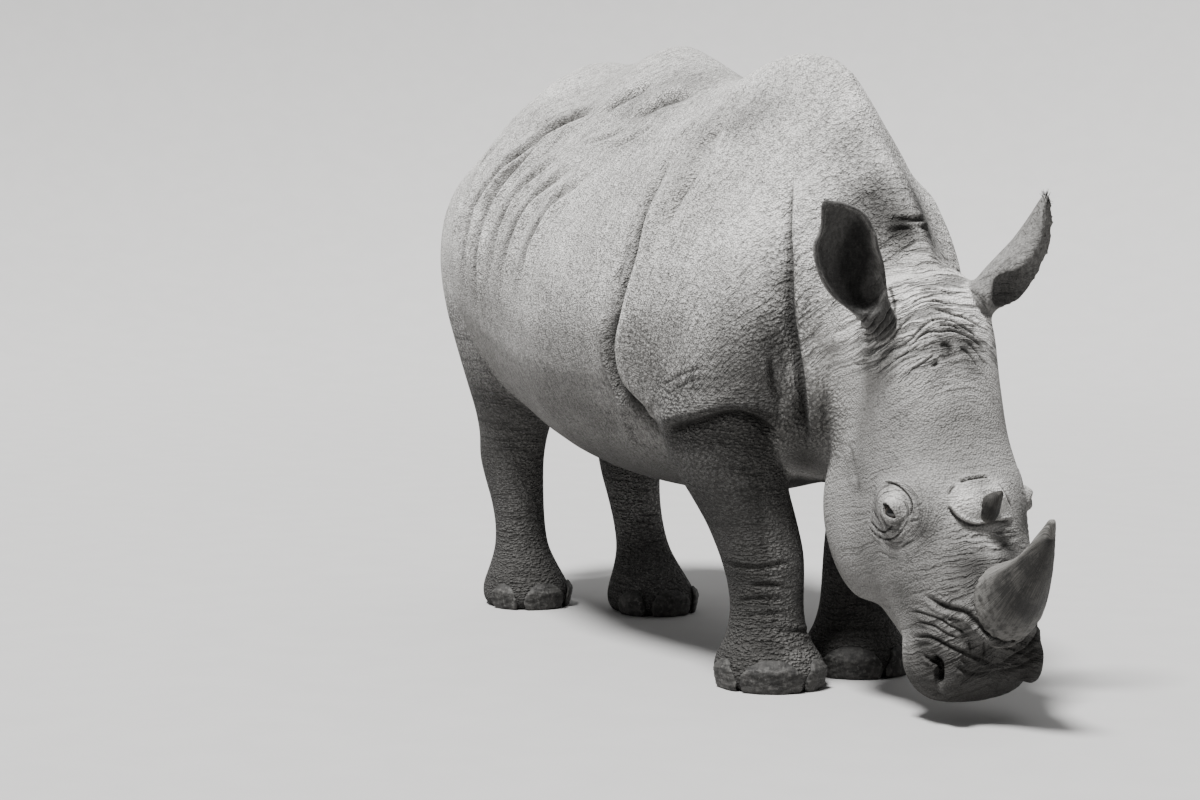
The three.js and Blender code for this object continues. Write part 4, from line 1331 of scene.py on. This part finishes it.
def makeTailTuft(settings):
    low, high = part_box("tail_tuft")
    centre = (low + high) / 2
    roots, leans, homes = [], [], []
    count, thickness = settings["tailStrands"], 0.014
    for i in range(count):
        share = (i + 0.5) / count
        angle = i * 2.399963   # the golden angle spreads the roots evenly
        z = high.z + 0.02 - 0.13 * share
        out = Vector((math.cos(angle) * 0.7, math.sin(angle), 0))
        roots.append(Vector((centre.x + 0.004, centre.y, z)) + out * thickness)
        leans.append(out * (0.10 + 0.10 * chance.random()) + Vector((0, 0, -1)))
        homes.append((0.05 + 0.9 * (angle / (2 * math.pi) % 1), 0.05 + 0.9 * share))
    shortest, longest = settings["tailLength"]
    lengths = []
    for root in roots:
        wanted = shortest + (longest - shortest) * chance.random()
        lengths.append(min(wanted, root.z - low.z - 0.02 * chance.random()))
    return makeBristles("tailTuft", roots, leans, lengths, settings["tailWidth"], homes, (0, 0, -0.06))


dress(makeTailTuft(bristleSettings), bristleFinish, "bristle", "tail_tuft")


def makeEarFringe(side, settings):
    # short bristles along the rim near the ear's tip, where the skin turns over most sharply
    low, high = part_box(f"{side}_ear")
    mesh = skin.data
    points, normals = pointsOf(mesh), normalsOf(mesh)
    inside = np.all((points > np.array(low) - 0.004) & (points < np.array(high) + 0.004), axis=1)
    tall = points[:, 2] > low.z + 0.45 * (high.z - low.z)
    spots = np.where(inside & tall)[0]
    facing = np.array(earFacing[f"{side}_ear"])
    edge = np.abs(normals[spots] @ facing) < 0.45
    spots = spots[edge]
    weight = 0.03 + ramp(points[spots, 2], high.z - 0.09, high.z - 0.01)
    chosen = chance.choice(spots, settings["earStrands"][side], p=weight / weight.sum())
    shortest, longest = settings["earLength"][side]
    lengths = shortest + (longest - shortest) * chance.random(len(chosen))
    roots = points[chosen] - normals[chosen] * 0.001
    leans = normals[chosen] + 0.35 * chance.standard_normal((len(chosen), 3)) * 0.5 + (0, 0, 0.35)
    size = np.maximum(np.array(high) - np.array(low), 1e-3)
    homes = [(0.05 + 0.9 * (p[1] - low.y) / size[1], 0.05 + 0.9 * (p[2] - low.z) / size[2]) for p in roots]
    return makeBristles(f"{side}EarFringe", roots, leans, lengths, settings["earWidth"], homes, (0, 0, 0))


for side in ("right", "left"):
    dress(makeEarFringe(side, bristleSettings), bristleFinish, "bristle")
print("bristles made")

# floor and light
studioSettings = {
    "floorTone": (0.34, 0.335, 0.33),
    "floorRadius": 9.0,    # metres of flat floor
    "coveRadius": 6.0,     # how it bends up into the backdrop
    "coveTurn": 154,       # degrees, the middle of the backdrop seen from the origin
    "coveReach": 100,      # degrees to either side over which it sinks to the floor
    "worldTone": (0.70, 0.71, 0.72),
    "worldStrength": 0.34,
    "lights": {
        # where each comes from, how many degrees wide it is, and its strength
        "key": {"from": (0.25, -0.5, 1.3), "spread": 14, "strength": 11.0},
        "top": {"from": (-0.2, 0.1, 1.0), "spread": 80, "strength": 1.3},
    },
}


def makeStudio(settings):
    # rings of points outwards, lifted into a cove on the far side
    turns, rings = 96, 26
    flat, cove = settings["floorRadius"], settings["coveRadius"]
    angle = np.arange(turns) * 2 * math.pi / turns
    facing = np.abs((np.degrees(angle) - settings["coveTurn"] + 180) % 360 - 180)
    lift = 1 - ramp(facing, settings["coveReach"] * 0.6, settings["coveReach"])
    corners, faces = [(0.0, 0.0, 0.0)], []
    for ring in range(rings):
        bend = ring / (rings - 1) * math.pi / 2
        radius = flat + cove * math.sin(bend)
        height = cove * (1 - math.cos(bend)) * lift
        corners.extend(zip(radius * np.cos(angle), radius * np.sin(angle), height))
    for side in range(turns):
        after = (side + 1) % turns
        faces.append((0, 1 + side, 1 + after))
        for ring in range(rings - 1):
            inner, outer = 1 + ring * turns, 1 + (ring + 1) * turns
            faces.append((inner + side, outer + side, outer + after, inner + after))
    mesh = bpy.data.meshes.new("floor")
    mesh.from_pydata([tuple(map(float, corner)) for corner in corners], [], faces)
    shadeSmooth(mesh)
    floor = linked("floor", mesh)
    made, tree, shader = material("floorPaper")
    speckle = noise(tree, objectSpace(tree), 6.0, 3)
    low = tuple(value * 0.97 for value in settings["floorTone"])
    tone = mixed(tree, remap(tree, speckle, 0.3, 0.7), low, settings["floorTone"])
    fill(tree, shader, Base_Color=tone, Roughness=0.9)
    mesh.materials.append(made)
    world = bpy.data.worlds.new("studio")
    world.use_nodes = True
    back = next(n for n in world.node_tree.nodes if n.type == "BACKGROUND")
    back.inputs[0].default_value = (*settings["worldTone"], 1)
    back.inputs[1].default_value = settings["worldStrength"]
    bpy.context.scene.world = world
    for name, light in settings["lights"].items():
        lamp = bpy.data.lights.new(name, "SUN")
        lamp.angle = math.radians(light["spread"])
        lamp.energy = light["strength"]
        made = bpy.data.objects.new(name, lamp)
        made.location = Vector(light["from"]) * 6
        made.rotation_euler = (-Vector(light["from"])).to_track_quat("-Z", "Y").to_euler()
        bpy.context.scene.collection.objects.link(made)


makeStudio(studioSettings)
print("studio made")
